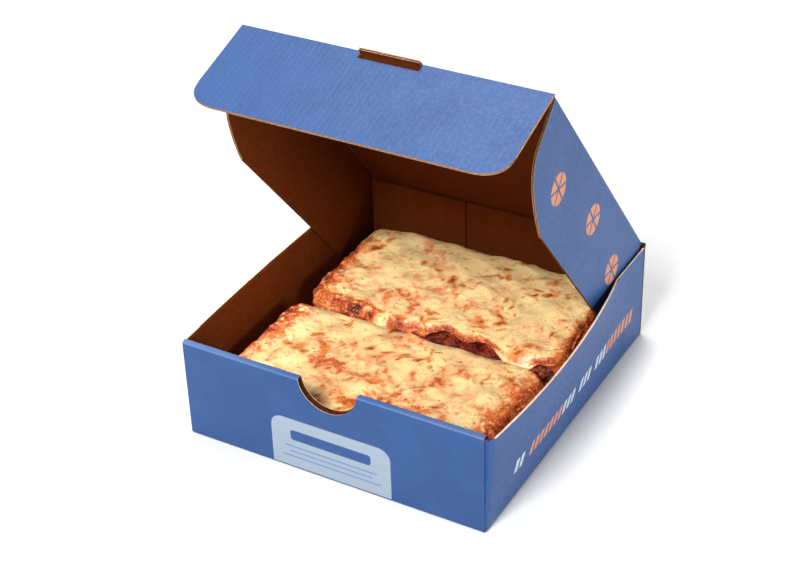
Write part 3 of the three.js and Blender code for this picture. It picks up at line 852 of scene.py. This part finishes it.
def crease_strip(name, span, before, after, turn, matrix):
    """A strip of outer liner over a crease on the X axis.

    before is how far it reaches back from the axis, along the fixed panel whose outward side is +Z and
    which lies towards +Y, after how far along the moving panel. turn is the fold between them, in degrees.
    """
    radians = math.radians(turn)
    sine, cosine = math.sin(radians), math.cos(radians)
    bend_end = -HALF * sine, HALF * cosine
    profile = [(y, HALF, 0.0) for y in np.linspace(before, 0.15, 3)]
    profile += [(-HALF * math.sin(a), HALF * math.cos(a), a) for a in np.linspace(0, radians, 9)]
    for past in np.linspace(0.15, after, 3):
        profile.append((bend_end[0] - past * cosine, bend_end[1] - past * sine, radians))
    u = columns_over(span, FLUTE / 3)
    outer = np.array([[(x, y, z) for x in u] for y, z, _ in profile])
    inward = np.array([(0, math.sin(a), -math.cos(a)) for _, _, a in profile])
    inner = outer + LINER * inward[:, None]
    mesh = joined([shell(outer, inner, PRINT, KRAFT_INSIDE)], matrix)
    strip = make_piece(name, mesh, BOX_MATERIALS, 60)
    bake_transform(strip)


wall_above_hinge = Matrix.Translation(lid_matrix().translation) @ Matrix.Rotation(math.radians(-90), 4, "X")
crease_strip(
    "lid_crease", (-BACK_REACH - 0.2, BACK_REACH + 0.2), HALF + HINGE_GAP + CREASE_START, SKIN_START,
    90 - LID_OPEN, wall_above_hinge,
)
lid_front = lid_matrix() @ Matrix.Translation((0, -LID_LENGTH, 0))
for end_name, end_span in (("left", (-LID_SIDE, -SLOT_HALF)), ("right", (SLOT_HALF, LID_SIDE))):
    crease_strip(
        f"flap_crease_{end_name}", end_span, LID_LENGTH - PANEL_FRONT, SKIN_START,
        FLAP_FOLD, lid_front,
    )

# ---- The food, as in the CAD source but for one drip, left out where the sauce shows between the slices ----

SQUARENESS = 7.5
BREAD_BASE, BREAD_TOP, SAUCE_TOP, CHEESE_TOP = 1.8, 28.8, 32.3, 38.2
SHOULDER = {"reach": 12.0, "power": 2.0}
BREAD = {"inset": 1.2, "fall": 3.0, "wave": 0.5, "lump": 0.5}
BREAD_SIDE = {"edge": 1.2, "upper": 3.2, "belly": 8.0, "belly_out": 0.9, "foot_rise": 3.0, "foot_in": 2.4}
SAUCE = {"inset": 0.7, "fall": 3.3, "wave": 0.7, "lump": 0.5}
SAUCE_SIDE = {"edge": 0.9, "edge_drop": 0.7, "out": 0.6, "skirt": 8.0, "skirt_wave": 1.6}
CHEESE = {"inset": 2.0, "fall": 4.0, "wave": 1.4, "lump": 1.1}
CHEESE_SIDE = {"drop": 2.4, "lip": 2.0, "drip_out": 2.4, "drip_length": 6.0, "toasted_length": 3.2}
RELIEF_SINK = 0.9  # the cheese's relief starts this far below the CAD surface, and rises through it

# bares and drips hold (direction in degrees, half width, amount): where the cheese stops short of the rim,
# and where it hangs over the side. creamy is the direction in which the cheese gets thicker and paler.
# toasted holds how far in from each side the slice is browned, and how fast that narrows along the side.
SLICES = [
    {
        "name": "back_slice", "centre": (1.1, 54.9), "turn": 0.3, "half": (93.3, 51.3), "phase": 0.7,
        "bares": [(-76, 20, 7), (-51, 13, 7), (4, 38, 9)],
        "drips": [(-150, 9, 0.5), (-124, 9, 1), (-40, 8, 1), (62, 12, 0.7), (118, 12, 0.8), (162, 10, 0.6)],
        "seed": 100, "creamy": (0.35, 0.75), "cover": 0.22, "shreds": 420,
        "toasted": {"left": (19.0, 0.15), "right": (20.0, 0.0), "front": (6.0, 0.12), "back": (4.0, 0.0)},
    },
    {
        "name": "front_slice", "centre": (0.6, -50.8), "turn": -0.2, "half": (94.2, 51.3), "phase": 3.9,
        "bares": [(0, 36, 8), (-24, 12, 3), (180, 22, 2)],
        "drips": [
            (-148, 10, 0.7), (-116, 10, 0.9), (-86, 9, 0.5), (-60, 10, 0.8),
            (58, 12, 0.6), (102, 12, 0.8), (146, 9, 0.6),
        ],
        "seed": 200, "creamy": (0.1, 0.45), "cover": 0.06, "shreds": 520,
        "toasted": {"left": (24.0, -0.1), "right": (32.0, 0.08), "front": (7.0, -0.08), "back": (3.0, 0.04)},
    },
]

GRAIN = 0.72  # spacing of the points over the food


def ripple(angle, phase):
    return (0.4 * np.sin(5 * angle + phase) + 0.35 * np.sin(9 * angle + 2.1 * phase)
            + 0.25 * np.sin(16 * angle + 3.7 * phase))


def lumps(x, y, phase):
    return (0.4 * np.sin(0.11 * x + phase) * np.cos(0.13 * y - phase)
            + 0.35 * np.sin(0.21 * x - 0.12 * y + 2 * phase)
            + 0.25 * np.cos(0.16 * x + 0.31 * y + 3 * phase))


def rim_radius(slice_, angle, inset):
    across = np.abs(np.cos(angle)) / (slice_["half"][0] - inset)
    along = np.abs(np.sin(angle)) / (slice_["half"][1] - inset)
    return (across ** SQUARENESS + along ** SQUARENESS) ** (-1 / SQUARENESS)


def surface_height(slice_, top, look, phase, x, y):
    """The height of a layer whose highest part is at top, and which falls off towards its sides."""
    half = slice_["half"]
    along = np.maximum(0, 1 - (half[0] - np.abs(x)) / SHOULDER["reach"])
    across = np.maximum(0, 1 - (half[1] - np.abs(y)) / SHOULDER["reach"])
    fall = look["fall"] * np.hypot(along, across) ** SHOULDER["power"]
    return top + look["lump"] * lumps(x, y, phase) - fall


def over_slice(slice_, s, t, inset):
    """Places (s, t) of a square from -1 to 1, spread over a slice so that the square's rim fits its outline.

    inset gives how far the rim lies inside the slice's outline, from the direction. Returns x, y, the
    direction from the middle and the share of the way out to the rim.
    """
    reach = np.maximum(np.maximum(np.abs(s), np.abs(t)), 1e-6)
    corner = (np.abs(s / reach) ** SQUARENESS + np.abs(t / reach) ** SQUARENESS) ** (-1 / SQUARENESS)
    x, y = s * corner * slice_["half"][0], t * corner * slice_["half"][1]
    angle = np.arctan2(y, x)
    shrink = 1 - rim_radius(slice_, angle, inset(angle)) / rim_radius(slice_, angle, 0)
    fit = 1 - smoothstep(0.5, 1, reach) * shrink
    return x * fit, y * fit, angle, reach


def points_of(x, y, z=0.0):
    """Points from arrays of their coordinates."""
    return np.stack([x, y, 0 * x + z], -1)


def square_grid(slice_):
    columns, rows = (int(round(2 * half / GRAIN)) for half in slice_["half"])
    return np.meshgrid(np.linspace(-1, 1, columns), np.linspace(-1, 1, rows))


def ring_normals(ring):
    """Level outward directions along a closed ring of points that runs anticlockwise."""
    tangent = np.roll(ring, -1, 0) - np.roll(ring, 1, 0)
    normal = points_of(tangent[:, 1], -tangent[:, 0])
    return normal / np.linalg.norm(normal, axis=1, keepdims=True)


def band(first, second):
    """Quads between two closed rings of point numbers."""
    return np.stack([first, second, np.roll(second, -1), np.roll(first, -1)], -1)


def fan(ring, middle):
    """Triangles from a closed ring of point numbers to one point."""
    return np.stack([ring, np.full_like(ring, middle), np.roll(ring, -1)], -1)


def ring_body(start, rings, last):
    """Points and faces of a closed body, from start, a grid or a point, by way of rings to the point last."""
    start = np.asarray(start, float)
    count = len(rings[0])
    points = np.concatenate([start.reshape(-1, 3), *rings, [last]])
    first_ring = start.size // 3
    numbers = [first_ring + k * count + np.arange(count) for k in range(len(rings))]
    if start.ndim == 1:
        faces = [fan(numbers[0], 0)[:, ::-1]]
    else:
        index = np.arange(first_ring).reshape(start.shape[:2])
        faces = [grid_quads(index), band(rim_of(index), numbers[0])]
    faces += [band(upper, lower) for upper, lower in zip(numbers, numbers[1:])]
    faces.append(fan(numbers[-1], len(points) - 1))
    return points, [face for some in faces for face in some]


def turned(dx, dy, angle):
    """Offsets along a direction and across it."""
    return dx * math.cos(angle) + dy * math.sin(angle), dy * math.cos(angle) - dx * math.sin(angle)


def placed(slice_, points):
    """Points of a slice, from its own middle to its place in the box."""
    x, y = turned(points[:, 0], points[:, 1], -math.radians(slice_["turn"]))
    return points_of(slice_["centre"][0] + x, slice_["centre"][1] + y, points[:, 2])


def food_piece(slice_, layer, body, look, fields):
    """A layer of a slice as a piece, with named values at its points for the material to use."""
    points, faces = body
    mesh = mesh_from(placed(slice_, points), faces)
    for key, values in fields.items():
        mesh.attributes.new(key, "FLOAT", "POINT").data.foreach_set("value", np.asarray(values, np.float32))
    piece = make_piece(f"{slice_['name']}_{layer}_real", mesh, [look], 180)
    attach(piece, "tray")
    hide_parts(f"{slice_['name']}_{layer}")


def soften(field, times):
    """A field blurred by averaging neighbours."""
    for _ in range(times):
        wide = np.pad(field, 1, mode="edge")
        field = (wide[:-2, 1:-1] + wide[2:, 1:-1] + wide[1:-1, :-2] + wide[1:-1, 2:] + 2 * field) / 6
    return field


def toasting(slice_, points):
    """How browned the slice is near its sides, from 0 to 1."""
    half_x, half_y = slice_["half"]
    x, y = points[..., 0], points[..., 1]
    uneven = 4.0 * cloud(points, 12, slice_["seed"] + 1) + 3.0 * cloud(points, 4.5, slice_["seed"] + 2)
    gaps = {
        "left": (x + half_x, y), "right": (half_x - x, y),
        "front": (y + half_y, x), "back": (half_y - y, x),
    }
    toasted = np.zeros_like(x)
    for side, (gap, along) in gaps.items():
        width, narrowing = slice_["toasted"][side]
        inward = gap + narrowing * along + uneven * min(1, width / 10)
        toasted = np.maximum(toasted, smoothstep(width, -2, inward))
    return toasted


def stamp_shreds(slice_, x, y):
    """Half melted shreds of grated cheese lying over each other: their height and a tint of each."""
    random = np.random.default_rng(slice_["seed"] + 3)
    height, tint = np.zeros_like(x), np.zeros_like(x)
    half = slice_["half"]
    rows, columns = x.shape
    for _ in range(slice_["shreds"]):
        centre = random.uniform(-1, 1, 2) * half
        angle = random.uniform(0, math.pi)
        length, width = 3 + 9 * random.random() ** 1.5, random.uniform(0.9, 1.7)
        rise, bend, shade = random.uniform(0.5, 1.2), random.uniform(-0.45, 0.45), random.uniform(-0.5, 1)
        column, row = ((centre / half + 1) / 2 * (columns, rows)).astype(int)
        window = int((length / 2 + 5) / GRAIN)
        area = (slice(max(0, row - window), row + window), slice(max(0, column - window), column + window))
        along, aside = turned(x[area] - centre[0], y[area] - centre[1], angle)
        aside = aside - bend * along ** 2 / length
        beyond = np.maximum(np.abs(along) - length / 2, 0)
        profile = np.sqrt(np.clip(1 - (np.hypot(beyond, aside) / width) ** 2, 0, 1))
        height[area] = np.maximum(height[area], 0.45 * height[area] + rise * profile)
        tint[area] = np.where(profile > 0.45, shade, tint[area])
    return height, tint


def browned_spots(slice_, level):
    """Browned spots of many sizes with soft halos and uneven outlines, gathered in patches."""
    random = np.random.default_rng(slice_["seed"] + 4)
    x, y = (level[..., k] + 2.0 * cloud(level, 3.2, slice_["seed"] + 5 + k) for k in (0, 1))
    spots = np.zeros_like(x)
    for _ in range(80):
        patch = random.uniform(-1, 1, 2) * slice_["half"]
        for _ in range(random.integers(1, 7)):
            centre = patch + random.normal(0, 4.5, 2)
            radius = 0.8 + 2.8 * random.random() ** 2
            strength = 0.2 + 0.8 * random.random() ** 2
            squash, angle = random.uniform(1.3, 3.4), random.uniform(0, math.pi)
            along, aside = turned(x - centre[0], y - centre[1], angle)
            square = (along ** 2 + (aside * squash) ** 2) / radius ** 2
            spots = np.maximum(spots, strength * (0.6 * np.exp(-square) + 0.4 * np.exp(-square / 4)))
    return spots


def bumps(places, angle):
    """The sum of rounded bumps round a slice, each (direction, half width, amount) in degrees."""
    total = 0 * angle
    for direction, half_width, amount in places:
        away = (np.degrees(angle) - direction + 180) % 360 - 180
        total = total + amount * np.maximum(0, 1 - (away / half_width) ** 2) ** 2
    return total


def cheese_inset(slice_, angle):
    return (CHEESE["inset"] + bumps(slice_["bares"], angle) - CHEESE["wave"] * ripple(angle, slice_["phase"])
            - CHEESE_SIDE["drip_out"] * bumps(slice_["drips"], angle))


def cheese_cover(slice_, points):
    """How thickly the cheese covers the sauce, mostly between 0 and 1."""
    seed = slice_["seed"]
    warped = points + 2.2 * np.stack([cloud(points, 7, seed + 60 + k) for k in range(3)], -1)
    return (0.5 + slice_["cover"] + 0.5 * cloud(warped, 13, seed + 63) + 0.5 * cloud(warped, 6, seed + 64)
            + 0.35 * cloud(warped, 2.8, seed + 65))


def melted_knobs(level, seed, melt):
    """Rounded knobs of three sizes, lower where the cheese has melted."""
    warped = level + 1.8 * points_of(cloud(level, 5, seed + 10), cloud(level, 5, seed + 11))
    knobs = sum(
        amount * np.sqrt(cloud(warped, size, seed + 12 + k) ** 2 + 0.04)
        for k, (size, amount) in enumerate(((8.0, 0.9), (4.2, 0.6), (2.4, 0.4)))
    )
    knobs = soften(knobs, 4)
    return knobs + (soften(knobs, 10) - knobs) * 0.8 * melt


def cheese_top(slice_):
    """Grids over the cheese's top, by name: its points, and values for its material and its sides."""
    seed, half = slice_["seed"], slice_["half"]
    x, y, angle, reach = over_slice(slice_, *square_grid(slice_), lambda a: cheese_inset(slice_, a))
    outward = np.hypot(x, y) / np.maximum(reach, 0.05)
    level = points_of(x, y)
    wander = 1.2 * cloud(level, 7, seed + 7) + 0.6 * cloud(level, 2.8, seed + 8) - 0.3
    grow = 1 + wander * smoothstep(0.8, 1, reach) / outward
    x, y = x * grow, y * grow
    level = points_of(x, y)

    leaning = slice_["creamy"][0] * x / half[0] + slice_["creamy"][1] * y / half[1]
    melt = smoothstep(-0.5, 0.4, cloud(level, 14, seed + 9) + 0.6 * leaning)
    shreds, tint = stamp_shreds(slice_, x, y)
    shreds = soften(shreds, 3)
    shreds = shreds + (soften(shreds, 12) - shreds) * (0.15 + 0.8 * melt)
    tint = soften(tint, 2) * (1 - 0.5 * melt)
    spots = browned_spots(slice_, level)
    hanging = np.minimum(1, bumps(slice_["drips"], angle))
    toasted = toasting(slice_, level) * (1 - 0.9 * hanging * smoothstep(0.7, 0.95, reach))
    to_rim = np.clip(1 - (1 - reach) * outward / 3.6, 0, 1)

    knobs = melted_knobs(level, seed, melt)
    detail = 0.55 * shreds + 0.35 * knobs + toasted * (0.6 * shreds + 1.2 * knobs)
    crevice = np.clip((soften(detail, 9) - detail) / 0.25, -1, 1)
    swell = 0.6 * cloud(level, 16, seed + 15) + 0.4 * cloud(level, 8, seed + 16)
    z = surface_height(slice_, CHEESE_TOP, CHEESE, slice_["phase"], x, y) - CHEESE_SIDE["drop"] * to_rim ** 2
    z = z - RELIEF_SINK + swell + detail * (1 - 0.6 * to_rim) - 0.3 * spots

    cover = cheese_cover(slice_, level) + 0.2 * leaning - 0.2 * crevice + 0.12 * tint + 0.12 * melt
    halo = 0.8 * to_rim * (1 - hanging) * (1 + 0.5 * cloud(level, 5, seed + 22))
    # Random patches, with painted shade and light in the toasted parts: browner in the crevices and less
    # brown on the raised shreds.
    patches_and_painted_shade = 1.0 + 0.4 * cloud(level, 3.4, seed + 21) - 0.4 * shreds + 0.35 * crevice
    brown = np.maximum(toasted * patches_and_painted_shade, halo)
    return {
        "x": x, "y": y, "z": z, "angle": angle, "toasted": toasted,
        "cover": cover, "brown": brown, "tint": tint, "spot": spots,
    }


def cheese_side(slice_, top):
    """Rings from the cheese's rim down its lobed side and back under, and the material's values there."""
    seed = slice_["seed"]
    edge = {key: rim_of(grid) for key, grid in top.items()}
    rim, toasted = points_of(edge["x"], edge["y"], edge["z"]), edge["toasted"]
    normal = ring_normals(rim)
    lobes = np.maximum(0, cloud(rim, 7, seed + 17))
    hang = np.minimum(1, bumps(slice_["drips"], edge["angle"]) + 0.35 * lobes)
    depth = CHEESE_SIDE["lip"] + CHEESE_SIDE["drip_length"] * hang + CHEESE_SIDE["toasted_length"] * toasted
    rings, values = [], {"cover": [], "brown": [], "tint": [], "spot": []}
    for share in np.linspace(0.1, 1, 10):
        bulge = (0.7 + 0.8 * hang) * math.sin(math.pi * share ** 0.8) - 1.2 * share ** 4
        bulge = bulge + 0.9 * np.maximum(hang, toasted) * share
        ring = rim + normal * bulge[:, None]
        ring[:, 2] = rim[:, 2] - depth * share
        rough = 0.55 * cloud(ring, 3.8, seed + 18) + 0.35 * np.abs(cloud(ring, 2.2, seed + 19))
        rough = rough * (1.6 - 0.8 * hang + 0.6 * toasted)
        ring = ring + normal * rough[:, None]
        rings.append(ring)
        values["cover"].append(cheese_cover(slice_, ring) - 0.25 * share + 0.35 * hang)
        thin = 0.6 + 0.55 * share - 1.1 * hang - 0.2 * toasted + 0.35 * cloud(ring, 4, seed + 20)
        patches = 0.75 + 0.3 * cloud(ring, 5, seed + 21) + 0.35 * cloud(ring, 2.2, seed + 23)
        values["brown"].append(np.clip(np.maximum(toasted * patches, thin), 0, 1.2))
        values["tint"].append(edge["tint"] * (1 - share))
        values["spot"].append(edge["spot"] * (1 - share))
    hem = rings[-1]
    for inward, lower in ((1.6, 0.7), (3.2, 0.4)):
        ring = hem - normal * inward
        ring[:, 2] = hem[:, 2] - lower
        rings.append(ring)
    under = rings[-1] * (0.9, 0.9, 1)
    under[:, 2] = BREAD_TOP + 0.6
    rings.append(under)
    for rows in values.values():
        rows += [rows[-1]] * 3  # the three rings behind the hem look as it does
    return rings, values


def melted_cheese(slice_):
    """The cheese: half melted shreds, a lobed rim and drips down the side. Returns its top's points."""
    top = cheese_top(slice_)
    rings, values = cheese_side(slice_, top)
    surface = points_of(top["x"], top["y"], top["z"])
    fields = {key: np.concatenate([top[key].ravel(), *rows, [0.0]]) for key, rows in values.items()}
    body = ring_body(surface, rings, (0, 0, SAUCE_TOP + 0.3))
    food_piece(slice_, "cheese", body, CHEESE_LOOK, fields)
    return surface


def round_slice(slice_, inset):
    """x, y and direction of places round a slice, inside its outline by inset."""
    s, t = (rim_of(grid) for grid in square_grid(slice_))
    return over_slice(slice_, s, t, lambda angle: inset)[:3]


def ring_at(slice_, inset, height):
    """A ring inside a slice's outline. inset and height may be numbers or vary round the ring."""
    x, y, _ = round_slice(slice_, inset)
    return points_of(x, y, height)


def layer_rings(slice_, outline, top, look, profile):
    """Rings of a lower layer: over its top, then through profile, a list of (extra inset, height).

    outline is how far the layer's edge lies inside the slice's, round the slice.
    """
    edge = ring_at(slice_, outline, 0)
    rings = []
    for share in (0.4, 0.7, 0.85, *np.linspace(0.89, 0.99, 9)):
        x, y = edge[:, 0] * share, edge[:, 1] * share
        rings.append(points_of(x, y, surface_height(slice_, top, look, slice_["phase"] + 1, x, y)))
    rings += [ring_at(slice_, outline + extra, height) for extra, height in profile]
    return np.array(rings)


def roughened(rings, amount):
    """Rings moved along their surface's outward direction by amount(points)."""
    along = np.roll(rings, -1, 1) - np.roll(rings, 1, 1)
    down = np.gradient(rings, axis=0)
    normal = np.cross(down, along)
    normal /= np.maximum(np.linalg.norm(normal, axis=-1, keepdims=True), 1e-9)
    return rings + normal * amount(rings)[..., None]


def tomato_sauce(slice_):
    """The sauce over the bread, thick and lumpy where it runs over the edge."""
    seed, phase = slice_["seed"], slice_["phase"]
    angle = round_slice(slice_, 0)[2]
    outline = SAUCE["inset"] - SAUCE["wave"] * ripple(angle, phase + 5)
    rim = SAUCE_TOP - SAUCE["fall"]
    start = rim - SAUCE_SIDE["edge_drop"]
    foot = rim - SAUCE_SIDE["skirt"] - SAUCE_SIDE["skirt_wave"] * ripple(angle, phase + 4)
    profile = []
    for share in np.linspace(0, 1, 15):
        belly = (SAUCE_SIDE["edge"] + SAUCE_SIDE["out"]) * math.sin(math.pi * share) ** 0.8
        profile.append((SAUCE_SIDE["edge"] - belly, start + (foot - start) * share))

    def lumpy(points):
        large, small = (np.maximum(cloud(points, size, seed + k), -0.2) for size, k in ((3.4, 24), (1.9, 25)))
        return large + 0.6 * small + 0.5 * cloud(points, 9, seed + 26) + 0.12 * cloud(points, 1.0, seed + 27)

    rings = roughened(layer_rings(slice_, outline, SAUCE_TOP, SAUCE, profile), lumpy)
    hidden = [ring_at(slice_, outline + 2.6, foot + 0.2), ring_at(slice_, outline + 4.5, BREAD_TOP - 3.5)]
    body = ring_body((0, 0, SAUCE_TOP), [*rings, *hidden], (0, 0, BREAD_TOP - 1))
    points = body[0]
    # Painted shade with some random tone: darker between the large lumps and further down the side, where the
    # sauce sits under the cheese.
    painted_shade_and_tone = 0.6 * cloud(points, 7, seed + 28) - 0.9 * np.maximum(0, cloud(points, 3.4, seed + 24))
    painted_shade_and_tone += 0.5 * (rim - points[:, 2]) / SAUCE_SIDE["skirt"]
    half = slice_["half"][0]
    ends = smoothstep(half - 32, half - 8, np.abs(points[:, 0]))
    fields = {"toasted": toasting(slice_, points) * ends, "painted_shade_and_tone": painted_shade_and_tone}
    food_piece(slice_, "sauce", body, SAUCE_LOOK, fields)


def baked_bread(slice_):
    """The bread: a browned, slightly uneven side with a rounded foot."""
    seed = slice_["seed"]
    outline = BREAD["inset"] - BREAD["wave"] * ripple(round_slice(slice_, 0)[2], slice_["phase"] + 2)
    rim = BREAD_TOP - BREAD["fall"]
    corners = [
        (BREAD_SIDE["edge"], rim - BREAD_SIDE["edge"]),
        (0.0, rim - BREAD_SIDE["upper"]),
        (-BREAD_SIDE["belly_out"], BREAD_BASE + BREAD_SIDE["belly"]),
        (0.0, BREAD_BASE + BREAD_SIDE["foot_rise"]),
        (BREAD_SIDE["foot_in"], BREAD_BASE),
    ]
    heights = np.concatenate([
        np.linspace(high, low, max(2, int((high - low) / 0.85)), endpoint=False)
        for (_, high), (_, low) in zip(corners, corners[1:])
    ] + [[BREAD_BASE]])
    insets, levels = np.array(corners)[::-1].T
    profile = [(np.interp(height, levels, insets), height) for height in heights]

    def crumb(points):
        inside = smoothstep(BREAD_BASE, BREAD_BASE + 2, points[..., 2])
        fine, coarse = cloud(points, 2.0, seed + 31) - 0.25, cloud(points, 4.5, seed + 32) - 0.3
        pores = np.maximum(fine, 0) + np.maximum(coarse, 0)
        return inside * (0.35 * cloud(points, 8, seed + 33) - 0.7 * pores)

    rings = roughened(layer_rings(slice_, outline, BREAD_TOP, BREAD, profile), crumb)
    body = ring_body((0, 0, BREAD_TOP), list(rings), (0, 0, BREAD_BASE))
    fields = {"rise": (body[0][:, 2] - BREAD_BASE) / (BREAD_TOP - BREAD_BASE)}
    food_piece(slice_, "bread", body, BREAD_LOOK, fields)


def add_flecks(slice_, surface, points, faces):
    """Small dark flakes lying on the cheese, each a flat double pyramid, added to points and faces."""
    random = np.random.default_rng(slice_["seed"] + 40)
    rows, columns = surface.shape[:2]
    corners = 6
    for _ in range(46):
        row, column = random.integers(10, rows - 10), random.integers(10, columns - 10)
        middle = surface[row, column] + (0, 0, 0.1)
        size = random.uniform(0.35, 0.8)
        angles = np.sort(random.uniform(0, 2 * math.pi, corners))
        reach = size * random.uniform(0.6, 1.3, corners)
        tilt = random.uniform(-0.25, 0.25, 2)
        x, y = reach * np.cos(angles), reach * np.sin(angles)
        ends = [(0, 0, 0.14), (0, 0, -0.2)]
        flake = np.concatenate([points_of(x, y, x * tilt[0] + y * tilt[1]), ends])
        for i in range(corners):
            this, other = len(points) + i, len(points) + (i + 1) % corners
            faces += [(this, other, len(points) + corners), (other, this, len(points) + corners + 1)]
        points += list(placed(slice_, middle + flake))


fleck_points, fleck_faces = [], []
for one_slice in SLICES:
    baked_bread(one_slice)
    tomato_sauce(one_slice)
    add_flecks(one_slice, melted_cheese(one_slice), fleck_points, fleck_faces)
herbs = make_piece("herb_flecks", mesh_from(fleck_points, fleck_faces), [HERB_LOOK], 20)
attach(herbs, "tray")

# ---- Camera, floor and light ----

# The photo's camera, in degrees and millimetres, fitted to the box's corners.
VIEW = {
    "azimuth": 30.481, "elevation": 32.856, "roll": -1.832,
    "aim": (-15.1, 63.3), "distance": 1100.8, "lens": 78.86,
}
FLOOR_HALF = 6.0


def add_camera():
    data = bpy.data.cameras.new("camera")
    data.sensor_width = 36.0
    data.lens = VIEW["lens"]
    camera = add_object("camera", data)
    turns = ((VIEW["azimuth"], "Z"), (90 - VIEW["elevation"], "X"), (VIEW["roll"], "Z"))
    for degrees, axis in turns:
        camera.matrix_world = camera.matrix_world @ Matrix.Rotation(math.radians(degrees), 4, axis)
    place = Vector((*VIEW["aim"], VIEW["distance"])) * MM
    camera.matrix_world = camera.matrix_world @ Matrix.Translation(place)
    bpy.context.scene.camera = camera


def add_light(name, place, target, size, power):
    """A round soft light in metres and watts, turned towards target."""
    data = bpy.data.lights.new(name, "AREA")
    data.shape = "DISK"
    data.size = size
    data.energy = power
    light = add_object(name, data)
    light.location = place
    light.rotation_euler = (Vector(target) - Vector(place)).to_track_quat("-Z", "Y").to_euler()


def add_floor():
    mesh = bpy.data.meshes.new("floor")
    corners = [(x * FLOOR_HALF, y * FLOOR_HALF, 0) for x, y in ((-1, -1), (1, -1), (1, 1), (-1, 1))]
    mesh.from_pydata(corners, [], [(0, 1, 2, 3)])
    s = Shade("pale_floor")
    mesh.materials.append(s.finish(Base_Color=(0.66, 0.66, 0.66, 1), Roughness=0.9, Specular_IOR_Level=0.2))
    floor = add_object("floor", mesh)


add_camera()
add_floor()
add_light("key", (0.0, -1.9, 1.88), (0, 0, 0.05), 0.9, 108)
add_light("softbox", (-0.55, 0.6, 2.15), (0, 0, 0.1), 1.1, 42)
add_light("fill", (1.9, -0.35, 0.45), (0, 0, 0.05), 1.0, 34)
world = bpy.data.worlds.new("studio")
world.use_nodes = True
world.node_tree.nodes["Background"].inputs["Color"].default_value = (1, 1, 1, 1)
world.node_tree.nodes["Background"].inputs["Strength"].default_value = 0.2
bpy.context.scene.world = world
bpy.context.scene.view_settings.view_transform = "Standard"
